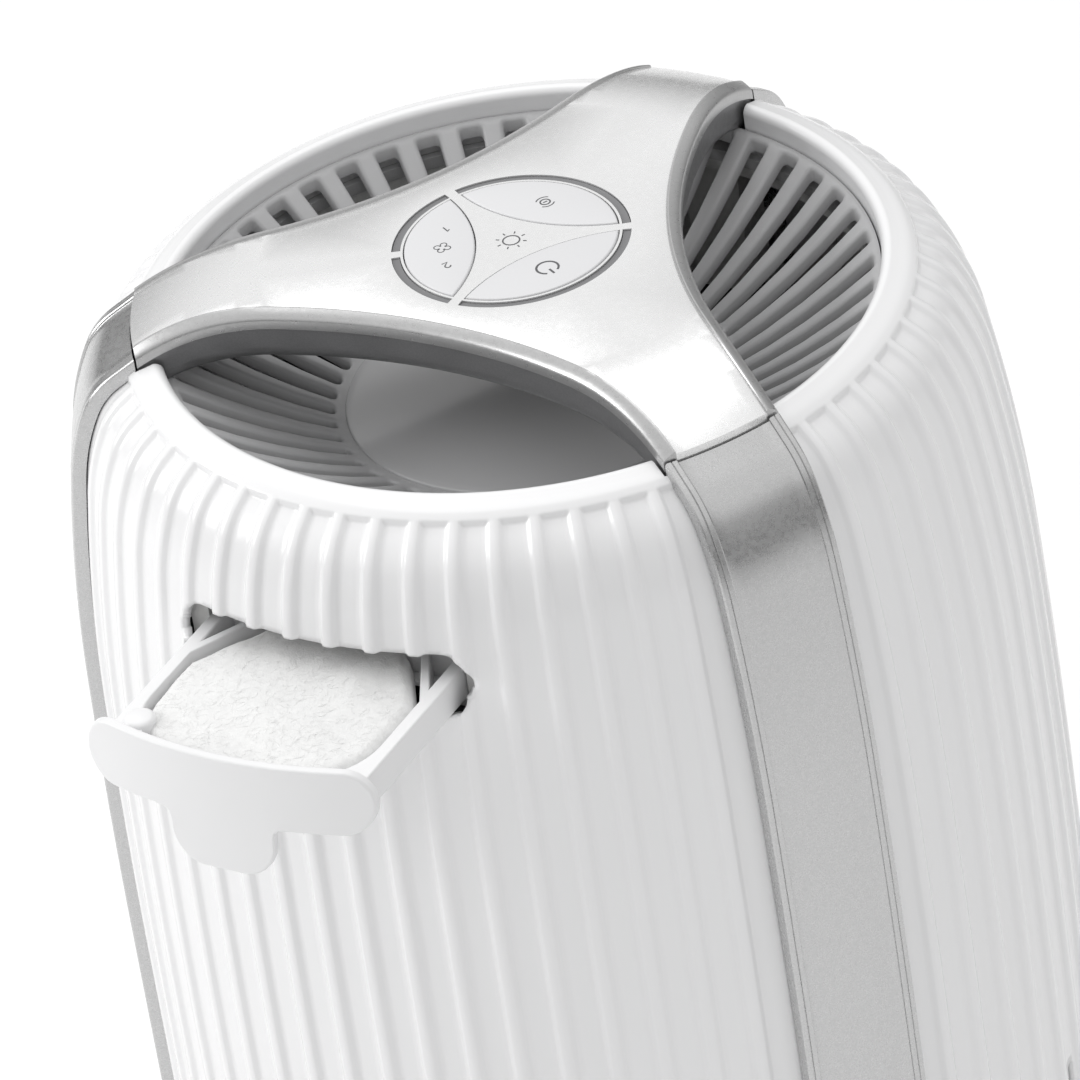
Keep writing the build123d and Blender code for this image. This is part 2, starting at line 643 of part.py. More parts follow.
with BuildPart() as hub_cap:
    with BuildSketch(Plane.XZ):
        with BuildLine():
            cap_r = HUB_R - HUB_CAP_GAP
            crown = HUB_CAP_RISE - HUB_CAP_EDGE
            crown_r = (cap_r ** 2 + crown ** 2) / (2 * crown)
            middle_z = HUB_TOP + HUB_CAP_RISE - crown_r + sqrt(crown_r ** 2 - (cap_r / 2) ** 2)
            ThreePointArc((cap_r, HUB_TOP + HUB_CAP_EDGE), (cap_r / 2, middle_z),
                          (HUB_FLAT_R, HUB_TOP + HUB_CAP_RISE))
            Polyline((HUB_FLAT_R, HUB_TOP + HUB_CAP_RISE), (0, HUB_TOP + HUB_CAP_RISE), (0, HUB_TOP),
                     (cap_r, HUB_TOP), (cap_r, HUB_TOP + HUB_CAP_EDGE))
        make_face()
    revolve(axis=Axis.Z)
save(hub_cap, "hub_cap")


# ---------------------------------------------------------------- chassis
DUCT_TOP = RIM_Z - DUCT_HEADROOM
DECK_TOP = DECK_Z + DECK_T
RING_SCREWS = polar((TOP_RING_R_IN + SEAT_R) / 2 + 1.7, SHELL_AZIMUTHS)
BASE_SCREWS = polar(BASE_SCREW_AT, ARM_AZIMUTHS)

with BuildPart() as upper_chassis:
    ring(TOP_RING_R_OUT, TOP_RING_R_IN, TOP_RING_LOW, TOP_RING_TOP)
    for azimuth in ARM_AZIMUTHS:
        with Locations(level_plane(azimuth, 0).location):
            with Locations((TOP_RING_R_OUT - 7, 0, DUCT_TOP + 1)):
                Box(RING_POST_L, POST_W, TOP_RING_TOP - DUCT_TOP - 1, align=OUTWARD)
            with Locations((UPPER_POST[0], 0, DECK_TOP)):
                Box(UPPER_POST[1] - UPPER_POST[0], POST_W, DUCT_TOP + 3 - DECK_TOP, align=OUTWARD)
    with Locations([(x, y, TOP_RING_LOW) for x, y in FEET + RING_SCREWS]):
        Cylinder(SCREW_R + SCREW_SLACK, TOP_RING_T, align=ON_BASE, mode=Mode.SUBTRACT)
    for x, y in FEET:
        with Locations((x, y, TOP_RING_LOW)):
            Cylinder(SCREW_HEAD_R + FIT, SCREW_HEAD_H + 1, align=HANGING, mode=Mode.SUBTRACT)
save(upper_chassis, "upper_chassis")

bridge_screws = screws(FEET, TOP_RING_LOW, TOP_RING_T + SEAT_T + 4, False)
save(bridge_screws, "bridge_screws")
grille_screws = screws(RING_SCREWS, TOP_RING_LOW, TOP_RING_T, False)
save(grille_screws, "grille_screws")

LOOM_HOLE = polar(LOOM_AT, [INLET_AZIMUTH])
with BuildPart() as lower_chassis:
    ring(DECK_R, INLET_R, DECK_Z, DECK_TOP)
    for azimuth in ARM_AZIMUTHS:
        with Locations(level_plane(azimuth, BASE_Z).location):
            with Locations((LOWER_POST[0], 0, 0)):
                Box(LOWER_POST[1] - LOWER_POST[0], POST_W, DECK_Z - BASE_Z, align=OUTWARD)
    with Locations(level_plane(INLET_AZIMUTH, POWER_BOARD_Z[1]).location):
        with Locations((POWER_BOARD_AT - 2, 0, 0)):
            Box(4, POWER_BOARD_W / 3, DECK_Z - POWER_BOARD_Z[1], align=OUTWARD)
    with Locations([(x, y, BASE_Z) for x, y in BASE_SCREWS]):
        Cylinder(SCREW_R + SCREW_SLACK, BASE_SCREW_L, align=ON_BASE, mode=Mode.SUBTRACT)
    with Locations([(x, y, DECK_Z) for x, y in LOOM_HOLE]):
        Cylinder(LOOM_R + FIT, DECK_T, align=ON_BASE, mode=Mode.SUBTRACT)
save(lower_chassis, "lower_chassis")


# ---------------------------------------------------------------- fan and motor
CRADLE_TOP = RIM_Z - CRADLE_DROP
CRADLE_LOW = CRADLE_TOP - CRADLE_H
PLATE_LOW = CRADLE_TOP - CRADLE_PLATE_T
MOTOR_TOP = PLATE_LOW
MOTOR_LOW = MOTOR_TOP - MOTOR_H
HUB_HIGH = MOTOR_LOW - IMPELLER_GAP
HUB_LOW = HUB_HIGH - IMPELLER_H
LOOM_Z = CRADLE_TOP + LOOM_R + FIT
LOOM_BEND = LOOM_AT - DUCT_R - 1     # level before it meets the duct
MOTOR_SCREWS = polar(MOTOR_SCREW_AT, ARM_AZIMUTHS)
STATOR_R = MOTOR_R - MOTOR_WALL

with BuildPart() as fan_duct:
    ring(DUCT_R, DUCT_R - DUCT_T, DECK_TOP, DUCT_TOP)
    with Locations(level_plane(INLET_AZIMUTH, LOOM_Z).location):
        with Locations(Location((DUCT_R - DUCT_T / 2, 0, 0), (0, 90, 0))):
            Cylinder(LOOM_R + FIT, DUCT_T * 4, mode=Mode.SUBTRACT)
save(fan_duct, "fan_duct")

with BuildPart() as inlet_bell:
    with BuildSketch(Plane.XZ):
        with BuildLine():
            foot = (INLET_R + BELL_FLARE, DECK_TOP)
            lip = (INLET_R + BELL_T / 2, DECK_TOP + BELL_H)
            ThreePointArc(foot, (INLET_R + BELL_FLARE / 2, DECK_TOP + 0.46 * BELL_H), lip)
            throat = INLET_R - BELL_T / 2
            Polyline(lip, (throat, DECK_TOP + BELL_H), (throat, DECK_TOP), foot)
        make_face()
    revolve(axis=Axis.Z)
save(inlet_bell, "inlet_bell")

with BuildPart() as motor_cradle:
    ring(CRADLE_HUB_R, 0, PLATE_LOW, CRADLE_TOP)
    ring(CRADLE_HUB_R, CRADLE_HUB_R - CRADLE_RIM_T, CRADLE_LOW, CRADLE_TOP)
    with PolarLocations(0, VANE_COUNT):
        with Locations((CRADLE_HUB_R - 1, 0, CRADLE_LOW)):
            Box(DUCT_R - DUCT_T - CRADLE_HUB_R, VANE_T, CRADLE_H, align=OUTWARD)
    ring(DUCT_R - DUCT_T, DUCT_R - DUCT_T - CRADLE_RIM_T, CRADLE_LOW, CRADLE_TOP)
    with Locations([(x, y, PLATE_LOW) for x, y in MOTOR_SCREWS]):
        Cylinder(GROMMET_R, CRADLE_PLATE_T, align=ON_BASE, mode=Mode.SUBTRACT)
save(motor_cradle, "motor_cradle")

with BuildPart() as motor_grommets:
    with Locations([(x, y, PLATE_LOW) for x, y in MOTOR_SCREWS]):
        Cylinder(GROMMET_R, CRADLE_PLATE_T, align=ON_BASE)
        Cylinder(SCREW_R + SCREW_SLACK, CRADLE_PLATE_T, align=ON_BASE, mode=Mode.SUBTRACT)
save(motor_grommets, "motor_grommets")

motor_screws = screws(MOTOR_SCREWS, CRADLE_TOP, CRADLE_PLATE_T + MOTOR_WALL, True)
save(motor_screws, "motor_screws")

with BuildPart() as motor_can:
    ring(MOTOR_R, 0, MOTOR_LOW, MOTOR_TOP)
    ring(MOTOR_R - MOTOR_WALL, 0, MOTOR_LOW + MOTOR_WALL, MOTOR_TOP - MOTOR_WALL, Mode.SUBTRACT)
    for low_z in (MOTOR_LOW, MOTOR_TOP - BEARING_H - 1):
        ring(BEARING_R + MOTOR_BOSS_T, 0, low_z, low_z + BEARING_H + 1)
    ring(BEARING_R, 0, MOTOR_LOW, MOTOR_LOW + BEARING_H, Mode.SUBTRACT)
    ring(BEARING_R, 0, MOTOR_TOP - BEARING_H - 1, MOTOR_TOP - 1, Mode.SUBTRACT)
    ring(SHAFT_R + 1, 0, MOTOR_LOW, MOTOR_TOP - 1, Mode.SUBTRACT)
    with Locations([(x, y, MOTOR_TOP - MOTOR_WALL) for x, y in MOTOR_SCREWS]):
        Cylinder(SCREW_R + SCREW_SLACK, MOTOR_WALL, align=ON_BASE, mode=Mode.SUBTRACT)
save(motor_can, "motor_can")

with BuildPart() as motor_bearings:
    for low_z in (MOTOR_LOW, MOTOR_TOP - BEARING_H - 1):
        ring(BEARING_R, SHAFT_R + RUNNING_GAP, low_z, low_z + BEARING_H)
save(motor_bearings, "motor_bearings")

WINDING_LOW = MOTOR_LOW + BEARING_H + 2
WINDING_TOP = MOTOR_TOP - BEARING_H - 2
with BuildPart() as motor_stator:
    ring(STATOR_R, STATOR_R - YOKE_T, WINDING_LOW, WINDING_TOP)
    with Locations((0, 0, WINDING_LOW)):
        with PolarLocations(ROTOR_R + 1, STATOR_TEETH):
            Box(STATOR_R - ROTOR_R - 2, TOOTH_W, WINDING_TOP - WINDING_LOW, align=OUTWARD)
save(motor_stator, "motor_stator")

with BuildPart() as motor_rotor:
    ring(ROTOR_R, SHAFT_R, WINDING_LOW + 0.5, WINDING_TOP - 0.5)
save(motor_rotor, "motor_rotor")

with BuildPart() as motor_shaft:
    ring(SHAFT_R, 0, HUB_LOW - NUT_H, MOTOR_TOP - 1.5)
save(motor_shaft, "motor_shaft")

with BuildPart() as impeller:
    ring(IMPELLER_HUB_R, 0, HUB_LOW, HUB_HIGH)
    ring(IMPELLER_HUB_R - 2, SHAFT_R + HUB_BORE_WALL, HUB_LOW + 3, HUB_HIGH, Mode.SUBTRACT)
    ring(SHAFT_R, 0, HUB_LOW, HUB_HIGH, Mode.SUBTRACT)
    for k in range(BLADE_COUNT):
        a = radians(k * 360 / BLADE_COUNT)
        outwards = (cos(a), sin(a), 0)
        root = (IMPELLER_HUB_R - 1)
        blade_plane = Plane(origin=(root * cos(a), root * sin(a), (HUB_LOW + HUB_HIGH) / 2),
                            x_dir=(sin(a), -cos(a), 0), z_dir=outwards)
        with BuildSketch(blade_plane):
            Rectangle(BLADE_CHORD, BLADE_T, rotation=BLADE_PITCH)
        extrude(amount=IMPELLER_R - 2.5 - root)
save(impeller, "impeller")

with BuildPart() as impeller_nut:
    with BuildSketch(Plane.XY.offset(HUB_LOW - NUT_H)):
        RegularPolygon(NUT_R, 6)
        Circle(SHAFT_R, mode=Mode.SUBTRACT)
    extrude(amount=NUT_H)
save(impeller_nut, "impeller_nut")


# ---------------------------------------------------------------- ionizer
with BuildPart() as ionizer:
    with Locations((0, IONIZER_Y, HUB_TOP - GRILLE_T)):
        Box(IONIZER_W, IONIZER_L, IONIZER_H, align=HANGING)
save(ionizer, "ionizer_module")
with BuildPart() as ion_needles:
    needle_z = HUB_TOP - GRILLE_T - IONIZER_H / 2
    for x in (-NEEDLE_PITCH / 2, NEEDLE_PITCH / 2):
        with Locations(Location((x, IONIZER_Y + IONIZER_L / 2, needle_z), (-90, 0, 0))):
            Cylinder(NEEDLE_R, NEEDLE_BASE_L, align=ON_BASE)
            Cone(NEEDLE_R, NEEDLE_TIP_R, NEEDLE_TIP_L, align=ON_BASE)
save(ion_needles, "ion_needles")


# ---------------------------------------------------------------- filter
FILTER_TOP = DECK_Z - SEAL_H
CAP_LOW = FILTER_TOP - FILTER_CAP_T
MEDIA_LOW = FILTER_LOW_Z + FILTER_CAP_T
MEDIA_R_OUT = FILTER_R - SLEEVE_T - 0.4
MEDIA_R_IN = FILTER_CORE_R + 1


def pleat_star(inset):
    """Folded outline: a peak and a valley for each pleat."""
    half_turn = 180 / PLEATS
    peaks = polar(MEDIA_R_OUT - inset, [2 * k * half_turn for k in range(PLEATS)])
    valleys = polar(MEDIA_R_IN + PLEAT_T - inset, [(2 * k + 1) * half_turn for k in range(PLEATS)])
    return [point for pair in zip(peaks, valleys) for point in pair]


with BuildPart() as filter_media:
    with BuildSketch(Plane.XY.offset(MEDIA_LOW)):
        with BuildLine():
            Polyline(*pleat_star(0), close=True)
        make_face()
        with BuildLine():
            Polyline(*pleat_star(PLEAT_T), close=True)
        make_face(mode=Mode.SUBTRACT)
    extrude(amount=CAP_LOW - MEDIA_LOW)
save(filter_media, "filter_media")

with BuildPart() as carbon_sleeve:
    ring(FILTER_R, FILTER_R - SLEEVE_T, MEDIA_LOW, CAP_LOW)
save(carbon_sleeve, "carbon_sleeve")
with BuildPart() as filter_cap_top:
    ring(FILTER_R, FILTER_CORE_R, CAP_LOW, FILTER_TOP)
save(filter_cap_top, "filter_cap_top")
with BuildPart() as filter_cap_bottom:
    ring(FILTER_R, 0, FILTER_LOW_Z, MEDIA_LOW)
save(filter_cap_bottom, "filter_cap_bottom")
with BuildPart() as filter_seal:
    ring(INLET_R + 1 + SEAL_W, INLET_R + 1, FILTER_TOP, DECK_Z)
save(filter_seal, "filter_seal")


# ---------------------------------------------------------------- base
LUG_LOW = 9.0
GROOVE_R = COVER_R + LUG_L + 2 * FIT
RING_BORE = COVER_R + FIT

with BuildPart() as base_ring:
    ring(BODY_R - 0.4, RING_BORE, BASE_LOW_Z, BASE_Z)
    fillet(base_ring.edges().group_by(Axis.Z)[0].sort_by(SortBy.LENGTH)[-1], 2.5)
    ring(BODY_R - SHELL_BACK - 0.2, BODY_R - SHELL_BACK - 3, BASE_Z, BASE_Z + 6)
    for azimuth in SHELL_AZIMUTHS:
        sector(GROOVE_R, RING_BORE - 1, LUG_LOW - FIT, LUG_LOW + LUG_H + FIT,
               azimuth - TWIST / 2, LUG_SPAN + TWIST + 2, Mode.SUBTRACT)
        sector(GROOVE_R, RING_BORE - 1, BASE_LOW_Z - 1, LUG_LOW + LUG_H + FIT,
               azimuth - TWIST, LUG_SPAN + 2, Mode.SUBTRACT)
    for azimuth in ARM_AZIMUTHS:
        with Locations(level_plane(azimuth, BASE_Z).location):
            with Locations((BODY_R - SHELL_BACK - 4, 0, 0)):
                Box(6, TONGUE_W + 1, 10, align=OUTWARD, mode=Mode.SUBTRACT)
    with Locations([(x, y, BASE_LOW_Z) for x, y in BASE_SCREWS]):
        Cylinder(SCREW_R + SCREW_SLACK, BASE_Z, align=ON_BASE, mode=Mode.SUBTRACT)
        Cylinder(SCREW_HEAD_R + FIT, BASE_SCREW_SINK, align=ON_BASE, mode=Mode.SUBTRACT)
save(base_ring, "base_ring")

base_screws = screws(BASE_SCREWS, BASE_LOW_Z + BASE_SCREW_SINK, BASE_SCREW_L, False)
save(base_screws, "base_screws")

with BuildPart() as filter_cover:
    ring(COVER_R, 0, COVER_Z, COVER_Z + COVER_T)
    ring(COVER_R, COVER_R - COVER_RIM_T, COVER_Z + COVER_T, COVER_Z + COVER_T + COVER_RIM_H)
    for azimuth in SHELL_AZIMUTHS:
        sector(COVER_R + LUG_L, COVER_R - 1, LUG_LOW, LUG_LOW + LUG_H, azimuth, LUG_SPAN)
    with BuildSketch(Plane.XY.offset(COVER_Z)):
        with Locations((0, GRIP_Y), (0, -GRIP_Y)):
            SlotOverall(GRIP_L, GRIP_W)
    extrude(amount=GRIP_DEPTH, mode=Mode.SUBTRACT)
    ring(FOOT_R, FOOT_R - FOOT_W, COVER_Z, COVER_Z + FOOT_SEAT, Mode.SUBTRACT)
save(filter_cover, "filter_cover")

with BuildPart() as foot_ring:
    ring(FOOT_R, FOOT_R - FOOT_W, 0, COVER_Z + FOOT_SEAT)
save(foot_ring, "foot_ring")


# ---------------------------------------------------------------- aroma tray
TRAY_TOP_Z = RIM_Z + TRAY_TOP
TRAY_LOW_Z = RIM_Z + TRAY_BOTTOM
FRONT_SWEEP = 50.0
FRONT_BACK_Y = -(BODY_R - 12) - TRAY_TRAVEL

with BuildPart() as tray_front:
    plane = radial_plane(SHELL_AZIMUTHS[0] - FRONT_SWEEP / 2, -TRAY_TRAVEL)
    axis = Axis((0, -TRAY_TRAVEL, 0), (0, 0, 1))
    front = side_band(plane, -FRONT_STAND, FRONT_T - FRONT_STAND, BASE_Z, RIM_R + 8)
    revolve(front, axis=axis, revolution_arc=FRONT_SWEEP)
    with BuildSketch(Plane.XZ.offset(BODY_R + TRAY_TRAVEL + 10)) as outline:
        with Locations((0, RIM_Z + FRONT_MID)):
            SlotOverall(FRONT_W, FRONT_H)
        with BuildLine():
            tab_top = RIM_Z + FRONT_MID
            Polyline((-TAB_HALF_W, tab_top), (-TAB_TIP_HALF_W, RIM_Z + TAB_LOW),
                     (TAB_TIP_HALF_W, RIM_Z + TAB_LOW), (TAB_HALF_W, tab_top), close=True)
        make_face()
        fillet(outline.vertices().group_by(Axis.Z)[0], 3.5)
    extrude(outline.sketch, amount=-BODY_R, mode=Mode.INTERSECT)

GUSSET = ((TRAY_HALF_W - ARM_T, TRAY_REAR_Y), (TRAY_HALF_W - ARM_T - GUSSET_W, TRAY_REAR_Y),
          (TRAY_HALF_W - ARM_T, TRAY_REAR_Y - GUSSET_L))
with BuildPart() as aroma_tray:
    add(tray_front.part)
    arm_l = TRAY_REAR_Y - FRONT_BACK_Y + 4
    for turn in (-1, 1):
        with Locations((turn * (TRAY_HALF_W - ARM_T / 2), TRAY_REAR_Y, TRAY_LOW_Z)):
            Box(ARM_T, arm_l, TRAY_TOP_Z - TRAY_LOW_Z, align=(Align.CENTER, Align.MAX, Align.MIN))
        with Locations((turn * (TRAY_HALF_W - ARM_T - LEDGE_W / 2), TRAY_REAR_Y, TRAY_LOW_Z)):
            Box(LEDGE_W + 1, arm_l, LEDGE_T, align=(Align.CENTER, Align.MAX, Align.MIN))
        with BuildSketch(Plane.XY.offset(TRAY_LOW_Z)) as web:
            Polygon(*[(turn * x, y) for x, y in GUSSET], align=None)
            offset(amount=-GUSSET_WALL, mode=Mode.SUBTRACT)
        extrude(web.sketch, amount=TRAY_TOP_Z - TRAY_LOW_Z)
    with Locations((0, TRAY_REAR_Y, TRAY_LOW_Z)):
        Box(2 * (TRAY_HALF_W - ARM_T) + 1, REAR_WALL_T, TRAY_TOP_Z - TRAY_LOW_Z,
            align=(Align.CENTER, Align.MAX, Align.MIN))
    for k in range(SLAT_COUNT):
        y = TRAY_REAR_Y - 1.3 - k * (arm_l - 8) / (SLAT_COUNT - 1)
        with Locations((0, y, TRAY_LOW_Z)):
            Box(2 * (TRAY_HALF_W - ARM_T), 2.6, LEDGE_T, align=ON_BASE)
save(aroma_tray, "aroma_tray")

with BuildPart() as aroma_pad:
    half_w = TRAY_HALF_W - ARM_T - PAD_GAP
    rear_w = half_w - GUSSET_W - GUSSET_WALL
    front_r = BODY_R + FRONT_STAND - FRONT_T - PAD_FRONT_GAP
    corner_y = -TRAY_TRAVEL - sqrt(front_r ** 2 - half_w ** 2)
    rear_y = TRAY_REAR_Y - REAR_WALL_T - PAD_GAP
    gusset_y = TRAY_REAR_Y - GUSSET_L - 3
    with BuildSketch(Plane.XY.offset(TRAY_LOW_Z + LEDGE_T)):
        with BuildLine():
            ThreePointArc((half_w, corner_y), (0, -TRAY_TRAVEL - front_r), (-half_w, corner_y))
            Polyline((-half_w, corner_y), (-half_w, gusset_y), (-rear_w, rear_y), (rear_w, rear_y),
                     (half_w, gusset_y), (half_w, corner_y))
        make_face()
    extrude(amount=PAD_H)
save(aroma_pad, "aroma_pad")

BEAM_TOP = TRAY_LOW_Z - FIT
with BuildPart() as tray_guide:
    rail_l = GUIDE_REAR_Y - GUIDE_FRONT_Y
    inner_x = TRAY_HALF_W + FIT
    for turn in (-1, 1):
        with Locations((turn * (inner_x + GUIDE_T / 2), GUIDE_REAR_Y, BEAM_TOP - BEAM_T)):
            Box(GUIDE_T, rail_l, TRAY_TOP_Z - BEAM_TOP + 4, align=(Align.CENTER, Align.MAX, Align.MIN))
        with Locations((turn * (inner_x - 1), GUIDE_REAR_Y, BEAM_TOP - BEAM_T)):
            Box(GUIDE_FOOT_W, rail_l, BEAM_T, align=(Align.CENTER, Align.MAX, Align.MIN))
    with Locations((0, GUIDE_REAR_Y, BEAM_TOP - BEAM_T)):
        Box(2 * (inner_x + GUIDE_T), BEAM_W, BEAM_T, align=ON_BASE)
save(tray_guide, "tray_guide")

LATCH_FRONT_Y = GUIDE_REAR_Y + LATCH_BACKSET
LATCH_MID_Z = (TRAY_TOP_Z + TRAY_LOW_Z) / 2
with BuildPart() as latch_body:
    with Locations((0, LATCH_FRONT_Y, BEAM_TOP - BEAM_T)):
        Box(LATCH_W, LATCH_L, TRAY_TOP_Z - BEAM_TOP + 2.5, align=(Align.CENTER, Align.MIN, Align.MIN))
    with Locations((0, LATCH_FRONT_Y, LATCH_MID_Z)):
        Box(PLUNGER_W + 2 * FIT, LATCH_L - 1.5, PLUNGER_W + 2 * FIT, mode=Mode.SUBTRACT,
            align=(Align.CENTER, Align.MIN, Align.CENTER))
    with Locations((0, GUIDE_REAR_Y, BEAM_TOP - 3)):
        Box(LATCH_W + 2, 2 * BEAM_W, BEAM_T + 1, mode=Mode.SUBTRACT,
            align=(Align.CENTER, Align.CENTER, Align.MIN))
save(latch_body, "tray_latch")
with BuildPart() as plunger:
    with Locations((0, LATCH_FRONT_Y - PLUNGER_REACH, LATCH_MID_Z)):
        Box(PLUNGER_W, PLUNGER_REACH + 4, PLUNGER_W, align=(Align.CENTER, Align.MIN, Align.CENTER))
save(plunger, "latch_plunger")


# ---------------------------------------------------------------- mains
INLET_FACE = BODY_R - SHELL_INSET + RIB_H / 2
with BuildPart() as mains_inlet:
    with BuildSketch(level_plane(INLET_AZIMUTH, INLET_Z)):
        with Locations((INLET_FACE - INLET_L / 2, 0)):
            Rectangle(INLET_L, INLET_W)
    extrude(amount=INLET_H / 2, both=True)
    mouth_plane = Plane(origin=(INLET_FACE * cos(radians(INLET_AZIMUTH)),
                                INLET_FACE * sin(radians(INLET_AZIMUTH)), INLET_Z),
                        x_dir=(-sin(radians(INLET_AZIMUTH)), cos(radians(INLET_AZIMUTH)), 0),
                        z_dir=(cos(radians(INLET_AZIMUTH)), sin(radians(INLET_AZIMUTH)), 0))
    with BuildSketch(mouth_plane):
        SlotOverall(SOCKET_W, SOCKET_H)
    extrude(amount=-SOCKET_DEPTH, mode=Mode.SUBTRACT)
save(mains_inlet, "mains_inlet")

with BuildPart() as inlet_pins:
    with BuildSketch(mouth_plane.offset(-SOCKET_DEPTH)):
        with Locations((-PIN_PITCH / 2, 0), (PIN_PITCH / 2, 0)):
            Circle(PIN_R)
    extrude(amount=PIN_L)
    fillet(inlet_pins.edges().group_by(Axis((0, 0, 0), mouth_plane.z_dir))[-1], PIN_R / 2)
save(inlet_pins, "inlet_pins")

with BuildPart() as power_board:
    with Locations(level_plane(INLET_AZIMUTH, POWER_BOARD_Z[0]).location):
        with Locations((POWER_BOARD_AT, 0, 0)):
            Box(BOARD_T, POWER_BOARD_W, POWER_BOARD_Z[1] - POWER_BOARD_Z[0], align=OUTWARD)
save(power_board, "power_board")

with BuildPart() as power_parts:
    with Locations(level_plane(INLET_AZIMUTH, POWER_BOARD_Z[0]).location):
        face = POWER_BOARD_AT + BOARD_T
        with Locations((face, 0, TRANSFORMER_UP)):
            Box(*TRANSFORMER, align=OUTWARD)
        for y in (-TERMINAL_Y, TERMINAL_Y):
            with Locations((face + CAPACITOR_R, y, CAPACITOR_UP)):
                Cylinder(CAPACITOR_R, CAPACITOR_H, align=ON_BASE)
            with Locations((face, y, TERMINAL_UP)):
                Box(*TERMINAL, align=OUTWARD)
save(power_parts, "power_components")

loom_start = POWER_BOARD_Z[1] - LOOM_START_DROP
with BuildPart() as wiring_loom:
    with BuildLine(radial_plane(INLET_AZIMUTH)) as loom_path:
        FilletPolyline((LOOM_AT, loom_start), (LOOM_AT, LOOM_Z), (LOOM_R * 3, LOOM_Z),
                       radius=LOOM_BEND)
    with BuildSketch(level_plane(INLET_AZIMUTH, loom_start)):
        with Locations((LOOM_AT, 0)):
            Circle(LOOM_R)
    sweep(path=loom_path.wire())
save(wiring_loom, "wiring_loom")
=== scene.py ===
import json
import random
from math import acos, asin, ceil, cos, degrees, hypot, pi, radians, sin, sqrt, tan

import bpy
from mathutils import Matrix, Vector, noise
from mathutils.geometry import delaunay_2d_cdt


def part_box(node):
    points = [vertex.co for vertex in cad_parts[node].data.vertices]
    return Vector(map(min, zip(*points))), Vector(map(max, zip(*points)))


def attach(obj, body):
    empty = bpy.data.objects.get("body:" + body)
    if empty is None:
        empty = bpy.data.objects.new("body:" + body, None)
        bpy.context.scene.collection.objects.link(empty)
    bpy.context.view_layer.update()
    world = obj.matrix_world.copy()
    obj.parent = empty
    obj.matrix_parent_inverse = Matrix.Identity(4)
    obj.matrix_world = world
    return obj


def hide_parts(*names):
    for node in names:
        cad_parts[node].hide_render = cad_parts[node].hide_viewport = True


# A tower air purifier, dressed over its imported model. Lengths in this script are
# millimetres and become metres in make_piece(). Z is up and azimuths are degrees from +X.
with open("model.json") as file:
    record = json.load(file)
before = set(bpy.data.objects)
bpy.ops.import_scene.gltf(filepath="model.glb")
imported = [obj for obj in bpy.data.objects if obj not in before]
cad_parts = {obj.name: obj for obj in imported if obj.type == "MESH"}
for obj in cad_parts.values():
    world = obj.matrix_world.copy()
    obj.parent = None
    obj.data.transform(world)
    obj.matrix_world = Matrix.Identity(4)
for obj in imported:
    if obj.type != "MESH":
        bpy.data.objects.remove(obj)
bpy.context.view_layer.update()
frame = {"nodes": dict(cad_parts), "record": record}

MM = 0.001


def span(node, axis):
    """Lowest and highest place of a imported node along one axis, in millimetres."""
    low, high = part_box(node)
    return round(low[axis] / MM, 1), round(high[axis] / MM, 1)


# ---------------------------------------------------------------- sizes
BODY_R = span("trim_strip_rear", 1)[1]
RIM_Z = span("fluted_shell_left", 2)[1]
BASE_Z = span("trim_strip_rear", 2)[0]
RIM_R = 70.0
SHOULDER = ((1800.0, 2.0), (370.0, 9.0), (50.0, 26.6), (17.0, 57.0))
ARMS = {"rear": 90.0, "left": 210.0, "right": 330.0}
SHELLS = {"front": 270.0, "right": 30.0, "left": 150.0}
STRIP_W = 24.8
STRIP_T = 2.7
RAIL_W = 2.6
RAIL_H = 0.5
TONGUE_W = 14.0
TONGUE_T = 2.0
SHELL_INSET = 3.0
SHELL_T = 1.6
ROLL_R = 1.6
LIP_DEPTH = 10.0
RIB_COUNT = 18
RIB_PITCH = 5.6
RIB_H = 0.9
RIB_HALF_TOP = 0.5          # degrees
RIB_HALF_FOOT = 1.37
BAND_R = (74.5, 75.5)       # the rim band steps down to the channels here
VENT_HALF = 0.75            # degrees
VENT_Z = (46.0, 136.0)
VENT_END = 1.2              # length of a vent's rounded end
TONGUE_CUT = 7.4            # half widths taken out beside a shell
ARM_CUT = 12.75
JOINT_R = 73.4
JOINT_GAP = 0.4
JOINT_RISE = 1.2
BRIDGE_R = JOINT_R - JOINT_GAP / 2
BRIDGE_TOP = RIM_Z + 9.3
DOME_FLAT_R = 48.0
DOME_R = 48.0
WAIST = 32.0
COVER_SIDE = 3.0
PAN_SIDE = 7.4
PAN_GAP = 0.15
KEY_R = 20.5
KEY_APEX = 6.6
KEY_TIP = 57.0
KEY_GAP = 0.25
KEY_PROUD = 0.25
KEY_T = 2.2
KEYS = {"ion_key": 90.0, "power_key": 330.0, "fan_speed_key": 210.0}
LIGHT_R = (21.0, 22.7)
LIGHT_GAP = 2.0
LIGHT_SINK = 0.35
LIGHT_FIT = 0.12
LIGHT_H = 4.0
LIGHTS = {"ion_light_guide": (30.0, 150.0), "speed_one_light_guide": (150.0, 210.0),
          "speed_two_light_guide": (210.0, 270.0), "power_light_guide": (270.0, 390.0)}
SLOTS = 48
SLOT_R = (38.2, 66.6)
SLOT_HALF = (1.25, 2.25)
SLOT_CORNER = 0.9
HUB_R = 36.5
BOWL_Z = (-24.0, -4.6)
BOWL_SAG = 1.4
GRILLE_T = 3.0
GRILLE_R = 68.1
SEAT_R = 73.0
SEAT_LAP = 1.2
SEAT_T = 2.5
TRAY_TRAVEL = 32.0
TRAY_LOW = RIM_Z - 36.2
TRAY_TOP = RIM_Z - 29.5
TRAY_HALF_W = 27.0
ARM_T = 2.6
TRAY_REAR_Y = -73.0
FRONT_W = 61.0
FRONT_H = 12.9
FRONT_MID = -32.25
FRONT_T = 1.8
FRONT_STAND = 0.4
TAB_HALF_W = 10.9
